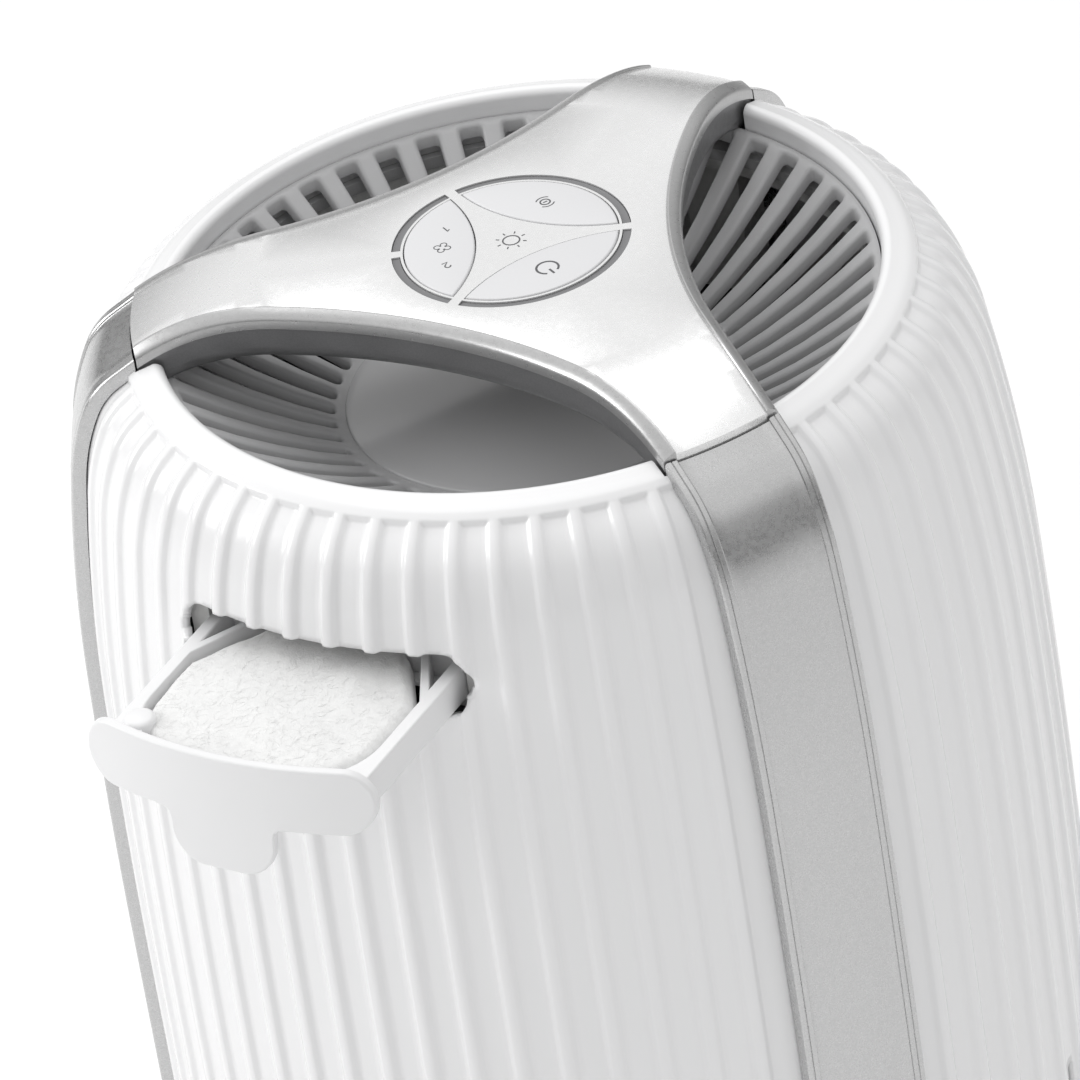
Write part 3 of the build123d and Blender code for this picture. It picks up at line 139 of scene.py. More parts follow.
TAB_LOW = -49.0
TAB_CORNER = 6.8
TRAY_SLOT = (62.2, 13.0, -30.6)
INLET_HOLE = (22.3, 13.3, 27.0)
INLET_CORNER = 1.2


# ---------------------------------------------------------------- materials
def node_material(name, colour, rough, metallic=0.0, specular=0.5, coat=0.0, sheen=0.0):
    """A material whose constant values sit on its own shader."""
    mat = bpy.data.materials.new(name)
    mat.use_nodes = True
    tree = mat.node_tree
    shader = tree.nodes["Principled BSDF"]
    shader.inputs["Base Color"].default_value = (*colour, 1)
    shader.inputs["Roughness"].default_value = rough
    shader.inputs["Metallic"].default_value = metallic
    shader.inputs["Specular IOR Level"].default_value = specular
    shader.inputs["Coat Weight"].default_value = coat
    shader.inputs["Coat Roughness"].default_value = 0.12
    shader.inputs["Sheen Weight"].default_value = sheen
    return mat, tree, shader


def new_node(tree, kind, values):
    """A node with constant values on its inputs."""
    node = tree.nodes.new(kind)
    for socket, value in values.items():
        node.inputs[socket].default_value = value
    return node


def object_noise(tree, scale, detail=2.0):
    """Noise in the piece's own coordinates, scale in features per metre."""
    place = tree.nodes.new("ShaderNodeTexCoord")
    tex = new_node(tree, "ShaderNodeTexNoise", {"Scale": scale, "Detail": detail})
    tree.links.new(place.outputs["Object"], tex.inputs["Vector"])
    return tex.outputs["Fac"]


def object_cells(tree, scale):
    """Random value for each small cell, scale in cells per metre."""
    place = tree.nodes.new("ShaderNodeTexCoord")
    tex = new_node(tree, "ShaderNodeTexVoronoi", {"Scale": scale})
    tree.links.new(place.outputs["Object"], tex.inputs["Vector"])
    split = tree.nodes.new("ShaderNodeSeparateColor")
    tree.links.new(tex.outputs["Color"], split.inputs["Color"])
    return split.outputs["Red"]


MIDDLE = (0.3, 0.7)         # the range in which most noise values lie


def ramp(tree, value, low, high):
    """Spread a value from its middle range to low..high."""
    node = new_node(tree, "ShaderNodeMapRange", {"From Min": MIDDLE[0], "From Max": MIDDLE[1],
                                                 "To Min": low, "To Max": high})
    tree.links.new(value, node.inputs["Value"])
    return node.outputs["Result"]


def tint(tree, shader, value, dark, light):
    """Colour the shader between two colours by a value."""
    node = tree.nodes.new("ShaderNodeValToRGB")
    for stop, position, colour in zip(node.color_ramp.elements, MIDDLE, (dark, light)):
        stop.position = position
        stop.color = (*colour, 1)
    tree.links.new(value, node.inputs["Fac"])
    tree.links.new(node.outputs["Color"], shader.inputs["Base Color"])


def bump(tree, shader, value, depth, strength=1.0):
    """Relief from a value, depth in metres."""
    node = new_node(tree, "ShaderNodeBump", {"Distance": depth, "Strength": strength})
    tree.links.new(value, node.inputs["Height"])
    tree.links.new(node.outputs["Normal"], shader.inputs["Normal"])


def shade(colour, factor):
    """A colour made lighter or darker."""
    return tuple(min(1.0, c * factor) for c in colour)


def gloss_plastic(name, colour, rough, coat=0.3, grain=0.000002):
    """Moulded plastic: faint flow marks, an even skin and slightly uneven gloss."""
    mat, tree, shader = node_material(name, colour, rough, coat=coat)
    flow = object_noise(tree, 18.0, 3.0)
    tint(tree, shader, flow, shade(colour, 0.992), shade(colour, 1.005))
    tree.links.new(ramp(tree, object_noise(tree, 300.0), rough * 0.95, rough * 1.06),
                   shader.inputs["Roughness"])
    bump(tree, shader, object_noise(tree, 1500.0, 1.0), grain)
    return mat


def matte_plastic(name, colour, rough, texture=0.00003, scale=2600.0):
    """Spark-eroded plastic: a fine even grain."""
    mat, tree, shader = node_material(name, colour, rough, specular=0.4)
    tint(tree, shader, object_noise(tree, 30.0, 4.0), shade(colour, 0.95), shade(colour, 1.04))
    tree.links.new(ramp(tree, object_noise(tree, 200.0), rough * 0.9, min(1.0, rough * 1.12)),
                   shader.inputs["Roughness"])
    bump(tree, shader, object_noise(tree, scale, 2.0), texture)
    return mat


def flake_paint(name, colour, rough, metallic, spread=0.08, coat=0.25):
    """Metallic paint: flakes a fifth of a millimetre across under a clear coat."""
    mat, tree, shader = node_material(name, colour, rough, metallic, coat=coat)
    flakes = object_cells(tree, 5200.0)
    tint(tree, shader, flakes, shade(colour, 1 - spread), shade(colour, 1 + spread))
    tree.links.new(ramp(tree, object_noise(tree, 900.0, 3.0), rough * 0.82, rough * 1.18),
                   shader.inputs["Roughness"])
    bump(tree, shader, flakes, 0.000002, 0.3)
    return mat


def metal(name, colour, rough, scale=700.0):
    """Plated or drawn metal with fine streaks."""
    mat, tree, shader = node_material(name, colour, rough, 1.0)
    streaks = object_noise(tree, scale, 5.0)
    tint(tree, shader, streaks, shade(colour, 0.85), shade(colour, 1.08))
    tree.links.new(ramp(tree, streaks, rough * 0.7, rough * 1.3), shader.inputs["Roughness"])
    bump(tree, shader, streaks, 0.00001)
    return mat


def fibrous(name, colour, scale, depth, sheen=0.4):
    """Felt, paper or fabric: tangled fibres and soft shade variation."""
    mat, tree, shader = node_material(name, colour, 0.95, specular=0.2, sheen=sheen)
    clumps = object_noise(tree, scale / 4, 5.0)
    tint(tree, shader, clumps, shade(colour, 0.95), shade(colour, 1.02))
    bump(tree, shader, object_noise(tree, scale, 8.0), depth)
    return mat


# what each slot is made with; the last two are finishes within a slot, the first of them partly
# painted shade
FINISHES = {
    "shell_white": (gloss_plastic, (0.86, 0.86, 0.865), 0.24),
    "tray_white": (gloss_plastic, (0.84, 0.84, 0.845), 0.36, 0.1),
    "key_pearl": (gloss_plastic, (0.7, 0.7, 0.71), 0.38, 0.15),
    "hub_grey": (gloss_plastic, (0.5, 0.5, 0.505), 0.2, 0.4),
    "strip_silver": (flake_paint, (0.56, 0.56, 0.56), 0.28, 0.9, 0.035),
    "bridge_pearl": (flake_paint, (0.85, 0.85, 0.85), 0.26, 0.7, 0.01),
    "pan_grey": (flake_paint, (0.26, 0.26, 0.265), 0.36, 0.6, 0.04),
    "light_grey": (matte_plastic, (0.2, 0.2, 0.205), 0.45, 0.00001),
    # grille plastic: its own light grey, darkened further as painted shade of the recessed outlet
    # under the bridge
    "grille_grey": (matte_plastic, (0.46, 0.46, 0.465), 0.4),
    "inner_white": (matte_plastic, (0.7, 0.7, 0.69), 0.5),
    "inner_black": (matte_plastic, (0.03, 0.03, 0.032), 0.55),
    "board_green": (matte_plastic, (0.02, 0.13, 0.05), 0.35, 0.00001),
    "rubber_grey": (matte_plastic, (0.09, 0.09, 0.095), 0.75, 0.00006, 1500.0),
    "foam": (matte_plastic, (0.05, 0.05, 0.052), 0.95, 0.0003, 900.0),
    "felt": (fibrous, (0.82, 0.82, 0.815), 2600.0, 0.00012),
    "filter_paper": (fibrous, (0.8, 0.79, 0.74), 900.0, 0.0001, 0.1),
    "carbon_mesh": (fibrous, (0.03, 0.03, 0.03), 1200.0, 0.0004, 0.2),
    "zinc_steel": (metal, (0.6, 0.6, 0.58), 0.32),
    "copper": (metal, (0.55, 0.22, 0.09), 0.35, 1500.0),
    "magnet": (metal, (0.08, 0.08, 0.085), 0.5),
    "brass_pin": (metal, (0.66, 0.5, 0.2), 0.25),
    "led": (gloss_plastic, (0.75, 0.8, 0.85), 0.1),
    # silver trim on the cover's rails, made darker than the cover as painted shade for the rails'
    # sloping faces
    "rail_silver": (flake_paint, (0.48, 0.48, 0.48), 0.32, 0.8, 0.03),
    "print_grey": (matte_plastic, (0.1, 0.1, 0.105), 0.5, 0.000004),
}
MATERIALS = {name: make(name, *values) for name, (make, *values) in FINISHES.items()}


def make_piece(name, points, faces, material, body, replaces=(), sharp=35.0, bevel=0.0):
    """A mesh from points in millimetres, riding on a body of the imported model."""
    mesh = bpy.data.meshes.new(name)
    mesh.from_pydata([Vector(p) * MM for p in points], [], faces)
    mesh.validate()
    mesh.materials.append(MATERIALS[material])
    for face in mesh.polygons:
        face.use_smooth = True
    mesh.set_sharp_from_angle(angle=radians(sharp))
    obj = bpy.data.objects.new(name, mesh)
    bpy.context.scene.collection.objects.link(obj)
    if bevel:
        round_edges(obj, bevel)
    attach(obj, body)
    if replaces:
        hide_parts(*replaces)
    return obj


def round_edges(obj, width, angle=50.0, segments=3):
    """Round the sharp edges of a piece."""
    mod = obj.modifiers.new("edges", "BEVEL")
    mod.width = width * MM
    mod.segments = segments
    mod.limit_method = "ANGLE"
    mod.angle_limit = radians(angle)
    mod.harden_normals = True


def strip_faces(rows, columns, closed_rows=False, closed_columns=False):
    """Quads between neighbouring rows of points."""
    faces = []
    for i in range(rows if closed_rows else rows - 1):
        for j in range(columns if closed_columns else columns - 1):
            a, b = i * columns, ((i + 1) % rows) * columns
            k = (j + 1) % columns
            faces.append((a + j, a + k, b + k, b + j))
    return faces


def revolved(profile, steps=144, closed=False):
    """Points and faces of a profile of (radius, height) turned about Z; one that isn't closed
    ends at the axis."""
    points = [(r * cos(2 * pi * i / steps), r * sin(2 * pi * i / steps), z)
              for i in range(steps) for r, z in profile]
    return points, strip_faces(steps, len(profile), True, closed)


def level_point(azimuth, u, v=0.0):
    """Plan point u outwards and v sideways at an azimuth."""
    a = radians(azimuth)
    return (u * cos(a) - v * sin(a), u * sin(a) + v * cos(a))


def arc_points(centre, radius, start, end, count):
    """Points of an arc, angles in degrees."""
    turn = [radians(start + (end - start) * i / (count - 1)) for i in range(count)]
    return [(centre[0] + radius * cos(t), centre[1] + radius * sin(t)) for t in turn]


def circle(radius, count=36, centre=(0.0, 0.0)):
    """Points of a whole circle."""
    return arc_points(centre, radius, 0, 360, count + 1)[:-1]


def azimuth_of(x, y):
    """Azimuth of a plan point, from -180 to 180 degrees."""
    return -degrees(Vector((1, 0)).angle_signed(Vector((x, y))))


def ring_edges(first, count, closed=True):
    """Edges of a polyline whose points are numbered from first."""
    last = count if closed else count - 1
    return [(first + i, first + (i + 1) % count) for i in range(last)]


def without_strays(points, faces):
    """Drop the points that no face uses and number the rest anew."""
    used = sorted({i for face in faces for i in face})
    renumber = {old: new for new, old in enumerate(used)}
    return [points[i] for i in used], [tuple(renumber[i] for i in face) for face in faces]


def plan_mesh(curves, inside):
    """Triangulate plan curves, each (points, closed), and keep the triangles that are inside."""
    points, edges = [], []
    for curve, closed in curves:
        if len(curve) > 1:
            edges += ring_edges(len(points), len(curve), closed)
        points += curve
    verts, _, faces, _, _, _ = delaunay_2d_cdt([Vector(p) for p in points], edges, [], 0, 1e-4)
    kept = []
    for face in faces:
        middle = sum((verts[i] for i in face), Vector((0, 0))) / len(face)
        if inside(middle.x, middle.y):
            kept.append(tuple(face))
    return without_strays(verts, kept)


def slab(curves, inside, top, bottom):
    """Closed solid between two heights over a plan region; top and bottom place a plan point."""
    plan, faces = plan_mesh(curves, inside)
    count = len(plan)
    points = [top(p.x, p.y) for p in plan] + [bottom(p.x, p.y) for p in plan]
    walls = {}
    for face in faces:
        for i, a in enumerate(face):
            b = face[(i + 1) % len(face)]
            if (b, a) in walls:
                del walls[(b, a)]
            else:
                walls[(a, b)] = True
    under = [tuple(count + i for i in reversed(face)) for face in faces]
    sides = [(b, a, count + a, count + b) for a, b in walls]
    return points, faces + under + sides


def flat(z):
    """Placing function of a level face."""
    return lambda x, y: (x, y, z)


def bent(profile, d):
    """Height at distance d from an edge, from a list of (distance, height)."""
    if d <= profile[0][0]:
        return profile[0][1]
    for (d0, h0), (d1, h1) in zip(profile, profile[1:]):
        if d <= d1:
            return h0 + (h1 - h0) * (d - d0) / (d1 - d0)
    return profile[-1][1]


# ---------------------------------------------------------------- the side's outline
def shoulder_centres():
    """Centres of the shoulder's arcs, hung from the strip's top at JOINT_R."""
    centre = (BODY_R - SHOULDER[0][0], 0.0)
    centres = [centre]
    for (radius, tilt), (next_radius, _) in zip(SHOULDER, SHOULDER[1:]):
        step = radius - next_radius
        centre = (centre[0] + step * cos(radians(tilt)), centre[1] + step * sin(radians(tilt)))
        centres.append(centre)
    radius, tilt = SHOULDER[-1]
    end_r = centre[0] + radius * cos(radians(tilt))
    end_z = centre[1] + radius * sin(radians(tilt))
    lift = RIM_Z + JOINT_RISE - (end_r - JOINT_R) / tan(radians(tilt)) - end_z
    return [(r, z + lift) for r, z in centres]


CENTRES = shoulder_centres()
ARCS = len(SHOULDER)
LAST_TILT = radians(SHOULDER[-1][1])
SLOPE_PART = ARCS + 1


def side_point(s, inset, top_r):
    """Point (r, z) and normal on the side: s is 0 to 1 on the upright foot, then 1 for each
    shoulder arc, then 1 for the slope in to top_r."""
    part = min(int(s), SLOPE_PART)
    f = s - part
    if part == 0:
        return (BODY_R - inset, BASE_Z + (CENTRES[0][1] - BASE_Z) * f), (1.0, 0.0)
    start = SHOULDER[part - 2][1] if part > 1 else 0.0
    if part <= ARCS:
        radius, end = SHOULDER[part - 1]
        tilt = radians(start + (end - start) * f)
        reach = radius - inset
        centre = CENTRES[part - 1]
        return ((centre[0] + reach * cos(tilt), centre[1] + reach * sin(tilt)),
                (cos(tilt), sin(tilt)))
    reach = SHOULDER[-1][0] - inset
    r = CENTRES[-1][0] + reach * cos(LAST_TILT)
    z = CENTRES[-1][1] + reach * sin(LAST_TILT)
    along = (r - top_r) * f
    return (r - along, z + along / tan(LAST_TILT)), (cos(LAST_TILT), sin(LAST_TILT))


def side_radius(z, inset):
    """Radius of the side at a height on the shoulder's long arcs."""
    for arc, (radius, tilt) in enumerate(SHOULDER):
        reach = radius - inset
        up = (z - CENTRES[arc][1]) / reach
        if up <= sin(radians(tilt)) or arc == ARCS - 1:
            return CENTRES[arc][0] + reach * sqrt(1 - up * up)


# ---------------------------------------------------------------- fluted shells
ROLL_PART = SLOPE_PART + 1
LIP_PART = SLOPE_PART + 2
ROLL_CENTRE = (RIM_R, RIM_Z - ROLL_R)
SLOPE_END_R = RIM_R + ROLL_R * cos(LAST_TILT)
SLOPE_END_Z = RIM_Z - ROLL_R + ROLL_R * sin(LAST_TILT)


def shell_profile(s):
    """Point and normal on the shell's outer profile, over the rim and down its lip."""
    if s < SLOPE_PART:
        return side_point(s, SHELL_INSET, RIM_R)
    if s < ROLL_PART:
        (r, z), normal = side_point(SLOPE_PART, SHELL_INSET, RIM_R)
        f = s - SLOPE_PART
        return (r + (SLOPE_END_R - r) * f, z + (SLOPE_END_Z - z) * f), normal
    if s < LIP_PART:
        turn = LAST_TILT + (pi - LAST_TILT) * (s - ROLL_PART)
        return ((ROLL_CENTRE[0] + ROLL_R * cos(turn), ROLL_CENTRE[1] + ROLL_R * sin(turn)),
                (cos(turn), sin(turn)))
    return (RIM_R - ROLL_R, RIM_Z - ROLL_R - (LIP_DEPTH - ROLL_R) * (s - LIP_PART)), (-1.0, 0.0)


def ease(t):
    """Smooth step from 0 to 1."""
    t = max(0.0, min(1.0, t))
    return t * t * (3 - 2 * t)


def rib_height(r, azimuth):
    """Height of ribs and rim band above the channels."""
    middle = (RIB_COUNT - 1) / 2
    k = max(0, min(RIB_COUNT - 1, round(azimuth / RIB_PITCH + middle)))
    off = abs(azimuth - (k - middle) * RIB_PITCH)
    rib = 1 - ease((off - RIB_HALF_TOP) / (RIB_HALF_FOOT - RIB_HALF_TOP))
    band = 1 - ease((r - BAND_R[0]) / (BAND_R[1] - BAND_R[0]))
    fade = ease((r - RIM_R - 0.4) / 3.4)
    return RIB_H * max(rib, band) * fade


def shell_point(s, azimuth, middle):
    """Point of a shell; azimuth is counted from the shell's middle."""
    (r, z), (nr, nz) = shell_profile(s)
    rise = rib_height(r, azimuth) if s < ROLL_PART else 0.0
    r, z = r + nr * rise, z + nz * rise
    x, y = level_point(middle + azimuth, r)
    return (x, y, z)


def shell_columns():
    """Azimuths of the fixed columns, and which of them edge a vent."""
    columns = []
    middle = (RIB_COUNT - 1) / 2
    flank = RIB_HALF_FOOT - RIB_HALF_TOP
    steps = [RIB_HALF_TOP + flank * f for f in (1.0, 0.67, 0.33, 0.0)]
    for k in range(RIB_COUNT):
        at = (k - middle) * RIB_PITCH
        columns += [(at - d, 0) for d in steps] + [(at + d, 0) for d in reversed(steps)]
        if k < RIB_COUNT - 1:
            columns += [(at + RIB_PITCH / 2, side) for side in (-1, 0.001, 1)]
    return columns


def vent_open(z):
    """Half width of a vent at a height, as a share of its full half width."""
    low, high = VENT_Z[0] + VENT_END, VENT_Z[1] - VENT_END
    over = max(low - z, z - high, 0.0) / VENT_END
    return max(0.15, sqrt(max(0.0, 1 - over * over))) if over <= 1.0 else 1.0


def shell_rows():
    """Stations along the profile: closer where the shape turns, the slot is cut or a vent ends."""
    upright = CENTRES[0][1] - BASE_Z
    heights = [BASE_Z, 16.5, 18.5] + [20.35 + 1.33 * k for k in range(11)] + [36, 39, 42.5, 45]
    ends = [0.0, 0.12, 0.4, 0.8, VENT_END]
    heights += [VENT_Z[0] + e for e in ends]
    slit = VENT_Z[1] - VENT_Z[0] - 2 * VENT_END
    heights += [VENT_Z[0] + VENT_END + slit * k / 10 for k in range(1, 10)]
    heights += [VENT_Z[1] - e for e in reversed(ends)] + [137.5, 145, 155, 165]
    stations = [(z - BASE_Z) / upright for z in heights]
    stations += [1 + k / 10 for k in range(10)]
    stations += [2 + k / 50 for k in range(0, 30, 4)] + [2.6 + k / 65 for k in range(26)]
    stations += [3 + k / 16 for k in range(16)] + [4 + k / 12 for k in range(12)]
    start_r = side_point(SLOPE_PART, SHELL_INSET, RIM_R)[0][0]
    radii = [start_r, 76.6, 76.0, 75.7, 75.5, 75.3, 75.1, 74.9, 74.7, 74.5, 74.2, 73.9, 73.7,
             73.5, 73.3, 73.0, 72.5, 72.0, 71.5, 71.1]
    stations += [SLOPE_PART + (start_r - r) / (start_r - SLOPE_END_R) for r in radii]
    stations += [ROLL_PART + k / 10 for k in range(10)]
    stations += [LIP_PART, LIP_PART + 0.4, LIP_PART + 0.999]
    return stations


def half_cut(r, z):
    """Half width that a strip's tongue or a bridge arm takes out beside a shell."""
    arm = ease((73.9 - r) / 0.6) if z > RIM_Z - LIP_DEPTH - 1 else 0.0
    return TONGUE_CUT + (ARM_CUT - TONGUE_CUT) * arm


def rounded_box(width, height, corner, z):
    """Inside test and nearest edge point of an upright rounded rectangle centred at height z."""
    a, b = width / 2 - corner, height / 2 - corner

    def core(u, v):
        return max(-a, min(a, u)), max(-b, min(b, v - z)) + z

    def inside(u, v):
        cu, cv = core(u, v)
        return hypot(u - cu, v - cv) < corner

    def nearest(u, v):
        cu, cv = core(u, v)
        away = hypot(u - cu, v - cv)
        if away < 1e-6:
            if a + corner - abs(u) < b + corner - abs(v - z):
                return ((a + corner) * (1 if u > 0 else -1), v)
            return (u, z + (b + corner) * (1 if v > z else -1))
        return cu + (u - cu) * corner / away, cv + (v - cv) * corner / away
    return inside, nearest


def snap(s, azimuth, middle, project, target):
    """Move along the shell's surface until a point projects to its target."""
    for _ in range(8):
        here = project(shell_point(s, azimuth, middle))
        along = project(shell_point(s + 1e-3, azimuth, middle))
        across = project(shell_point(s, azimuth + 1e-2, middle))
        a, b = (along[0] - here[0]) / 1e-3, (across[0] - here[0]) / 1e-2
        c, d = (along[1] - here[1]) / 1e-3, (across[1] - here[1]) / 1e-2
        du, dv = target[0] - here[0], target[1] - here[1]
        det = a * d - b * c
        s += (d * du - b * dv) / det
        azimuth += (a * dv - c * du) / det
    return shell_point(s, azimuth, middle)


def make_shell(side, middle, hole=None):
    """One fluted shell. hole is (facing, project, inside, nearest) for an opening through it."""
    rows, columns = shell_rows(), shell_columns()
    last = columns[-1][0]
    margin = (0.2, 0.45, 0.7, 0.9, 1.0)
    count = len(columns) + 2 * len(margin)
    params = []
    for s in rows:
        (r, z), _ = shell_profile(s)
        edge = 60 - degrees(asin(half_cut(r, z) / r))
        left = [(s, -last - (edge - last) * f) for f in reversed(margin)]
        fixed = [(s, at + vent * VENT_HALF * vent_open(z)) for at, vent in columns]
        right = [(s, last + (edge - last) * f) for f in margin]
        params += left + fixed + right
    points = [shell_point(s, a, middle) for s, a in params]
    faces = []
    for i in range(len(rows) - 1):
        z0, z1 = shell_profile(rows[i])[0][1], shell_profile(rows[i + 1])[0][1]
        in_vent = z0 > VENT_Z[0] - 0.01 and z1 < VENT_Z[1] + 0.01
        for j in range(count - 1):
            k = j - len(margin)
            if in_vent and 0 <= k < len(columns) - 1 and columns[k][1] and columns[k + 1][1]:
                continue
            a, b = i * count + j, (i + 1) * count + j
            faces.append((a, a + 1, b + 1, b))
    if hole:
        facing, project, inside, nearest = hole
        kept, cut = [], set()
        for face in faces:
            corners = [project(points[i]) for i in face]
            u = sum(c[0] for c in corners) / 4
            v = sum(c[1] for c in corners) / 4
            if facing.dot(Vector(points[face[0]][:2])) > 0 and inside(u, v):
                cut.update(face)
            else:
                kept.append(face)
        faces = kept
        for i in cut & {i for face in faces for i in face}:
            s, a = params[i]
            points[i] = snap(s, a, middle, project, nearest(*project(points[i])))
    points, faces = without_strays(points, faces)
    name = f"fluted_shell_{side}"
    shell = make_piece(f"{name}_skin", points, faces, "shell_white", "housing", [name], 60.0)
    wall = shell.modifiers.new("wall", "SOLIDIFY")
    wall.thickness = SHELL_T * MM
    wall.offset = -1.0
    return shell


def make_shells():
    """The three shells: the front one has the tray's slot, the right one the mains inlet."""
    slot_w, slot_h, slot_mid = TRAY_SLOT
    inlet_w, inlet_h, inlet_z = INLET_HOLE
    holes = {
        "front": (Vector((0, -1)), lambda p: (p[0], p[2]),
                  *rounded_box(slot_w, slot_h, slot_h / 2, RIM_Z + slot_mid)),
        "right": (Vector((1, 0)), lambda p: (p[1], p[2]),
                  *rounded_box(inlet_w, inlet_h, INLET_CORNER, inlet_z)),
    }
    for side, middle in SHELLS.items():
        make_shell(side, middle, holes.get(side))


# ---------------------------------------------------------------- trim strips
def strip_section():
    """Closed cross-section of a strip: (place across, depth below the surface)."""
    half = STRIP_W / 2
    rail = [(half, STRIP_T), (half, 0.45), (half - 0.1, 0.18), (half - 0.35, 0.0),
            (half - 1.15, 0.0), (half - 1.3, 0.2), (half - 1.45, 0.0),
            (half - RAIL_W + 0.3, 0.0), (half - RAIL_W + 0.1, 0.14), (half - RAIL_W, RAIL_H - 0.08),
            (half - RAIL_W - 0.15, RAIL_H)]
    field = [(half * f, RAIL_H) for f in (0.6, 0.4, 0.2)]
    front = rail + field
    tongue = TONGUE_W / 2
    back = [(-half, STRIP_T), (-tongue, STRIP_T), (-tongue, STRIP_T + TONGUE_T),
            (tongue, STRIP_T + TONGUE_T), (tongue, STRIP_T)]
    mirrored = [(-x, d) for x, d in reversed(front)]
    return front + [(0.0, RAIL_H)] + mirrored[:-1] + back


STRIP_STEPS = (6, 8, 14, 12, 12, 4)     # rows on each part of the side


def make_strip(side, azimuth):
    """A trim strip: its section carried up the side and over the shoulder."""
    section = strip_section()
    top_r = JOINT_R + JOINT_GAP / 2
    rows = [part + k / steps for part, steps in enumerate(STRIP_STEPS) for k in range(steps)]
    rows.append(SLOPE_PART + 0.9999)
    points = []
    for s in rows:
        for across, depth in section:
            (r, z), _ = side_point(s, depth, top_r)
            x, y = level_point(azimuth, sqrt(r * r - across * across), across)
            points.append((x, y, z))
    count = len(section)
    faces = strip_faces(len(rows), count, closed_columns=True)
    faces.append(tuple(reversed(range(count))))
    faces.append(tuple(range((len(rows) - 1) * count, len(rows) * count)))
    name = f"trim_strip_{side}"
    make_piece(f"{name}_body", points, faces, "strip_silver", "housing", [name], 30.0)


# ---------------------------------------------------------------- bridge
CORNER = 60 - degrees(asin(STRIP_W / 2 / BRIDGE_R))
BULGE = BRIDGE_R * cos(radians(CORNER)) - WAIST
SCOOP_R = (BULGE ** 2 + (BRIDGE_R * sin(radians(CORNER))) ** 2) / (2 * BULGE)
SCOOP_AT = WAIST + SCOOP_R
SCOOPS = [Vector(level_point(a, SCOOP_AT)) for a in SHELLS.values()]


def dome_z(r):
    """Height of the bridge's top at a radius."""
    if r <= DOME_FLAT_R:
        return BRIDGE_TOP
    return BRIDGE_TOP - DOME_R + sqrt(DOME_R ** 2 - (r - DOME_FLAT_R) ** 2)


def scoop_distance(x, y):
    """Distance in from the bridge's nearest scooped edge."""
    return min((Vector((x, y)) - c).length for c in SCOOPS) - SCOOP_R


def on_dome(profile):
    """Placing function of a face over the dome; profile is (distance in from a scooped edge,
    rise)."""
    return lambda x, y: (x, y, dome_z(hypot(x, y)) + bent(profile, scoop_distance(x, y)))


def bridge_curves(insets, end_r):
    """Plan curves of the bridge: its end circle, its scooped edges at several insets and, over
    the domed arms, circles close enough to carry the curve."""
    curves = [(circle(end_r, 240), True)]
    for azimuth in SHELLS.values():
        centre = level_point(azimuth, SCOOP_AT)
        for inset in insets:
            reach = SCOOP_R + inset
            swing = degrees(acos((SCOOP_AT ** 2 + reach ** 2 - (end_r + 1) ** 2)
                                 / (2 * SCOOP_AT * reach)))
            curves.append((arc_points(centre, reach, azimuth + 180 - swing,
                                      azimuth + 180 + swing, 73), False))
    r = DOME_FLAT_R
    while r < end_r - 1:
        curves.append((circle(r, 120), True))
        r += 2.4
    return curves


RAIL_PROFILE = [(0.0, -1.3), (0.15, -0.9), (0.45, -0.55), (0.9, -0.2), (1.4, 0.12), (1.9, 0.38),
                (2.15, RAIL_H), (2.4, RAIL_H), (2.55, 0.3), (2.62, -0.12)]
COVER_PROFILE = [(2.62, -0.12), (2.75, -0.06), (2.9, 0.0)]
PAN_PROFILE = [(d, rise - COVER_SIDE - PAN_SIDE) for d, rise in
               ((0.6, 3.2), (0.75, 2.0), (1.2, 1.0), (2.1, 0.3), (3.4, 0.0))]


KEY_DEPTH = KEY_R * cos(radians(KEY_TIP)) - KEY_APEX
KEY_SIDE_R = (KEY_DEPTH ** 2 + (KEY_R * sin(radians(KEY_TIP))) ** 2) / (2 * KEY_DEPTH)
KEY_SIDE_AT = KEY_APEX + KEY_SIDE_R


def lens_curve(azimuth, grow, count=33):
    """Outline of a key: its outer arc, then its inner one."""
    outer, inner = KEY_R + grow, KEY_SIDE_R + grow
    cross = (outer ** 2 - inner ** 2 + KEY_SIDE_AT ** 2) / (2 * KEY_SIDE_AT)
    outer_span = degrees(acos(cross / outer))
    inner_span = degrees(acos((KEY_SIDE_AT - cross) / inner))
    out = arc_points((0, 0), outer, -outer_span, outer_span, count)
    back = arc_points((KEY_SIDE_AT, 0), inner, 180 - inner_span, 180 + inner_span, count)
    return [level_point(azimuth, u, v) for u, v in out + back[1:-1]]


def lens_distance(x, y, azimuth):
    """Distance in from a key's edge; negative outside it."""
    u, v = level_point(-azimuth, x, y)
    return min(KEY_R - hypot(u, v), KEY_SIDE_R - hypot(u - KEY_APEX - KEY_SIDE_R, v))


def light_curve(ends, shrink, count=41):
    """Outline of a light guide."""
    trim = degrees((LIGHT_GAP / 2 + shrink) / LIGHT_R[0])
    start, end = ends[0] + trim, ends[1] - trim
    inner = arc_points((0, 0), LIGHT_R[0] + shrink, start, end, count)
    outer = arc_points((0, 0), LIGHT_R[1] - shrink, end, start, count)
    return inner + outer


def in_light(x, y, shrink):
    """Whether a plan point is in one of the light guides' openings."""
    r = hypot(x, y)
    if not LIGHT_R[0] + shrink < r < LIGHT_R[1] - shrink:
        return False
    azimuth = azimuth_of(x, y) % 360
    trim = degrees((LIGHT_GAP / 2 + shrink) / LIGHT_R[0])
    return any(a + trim < turned < b - trim for a, b in LIGHTS.values()
               for turned in (azimuth, azimuth + 360))


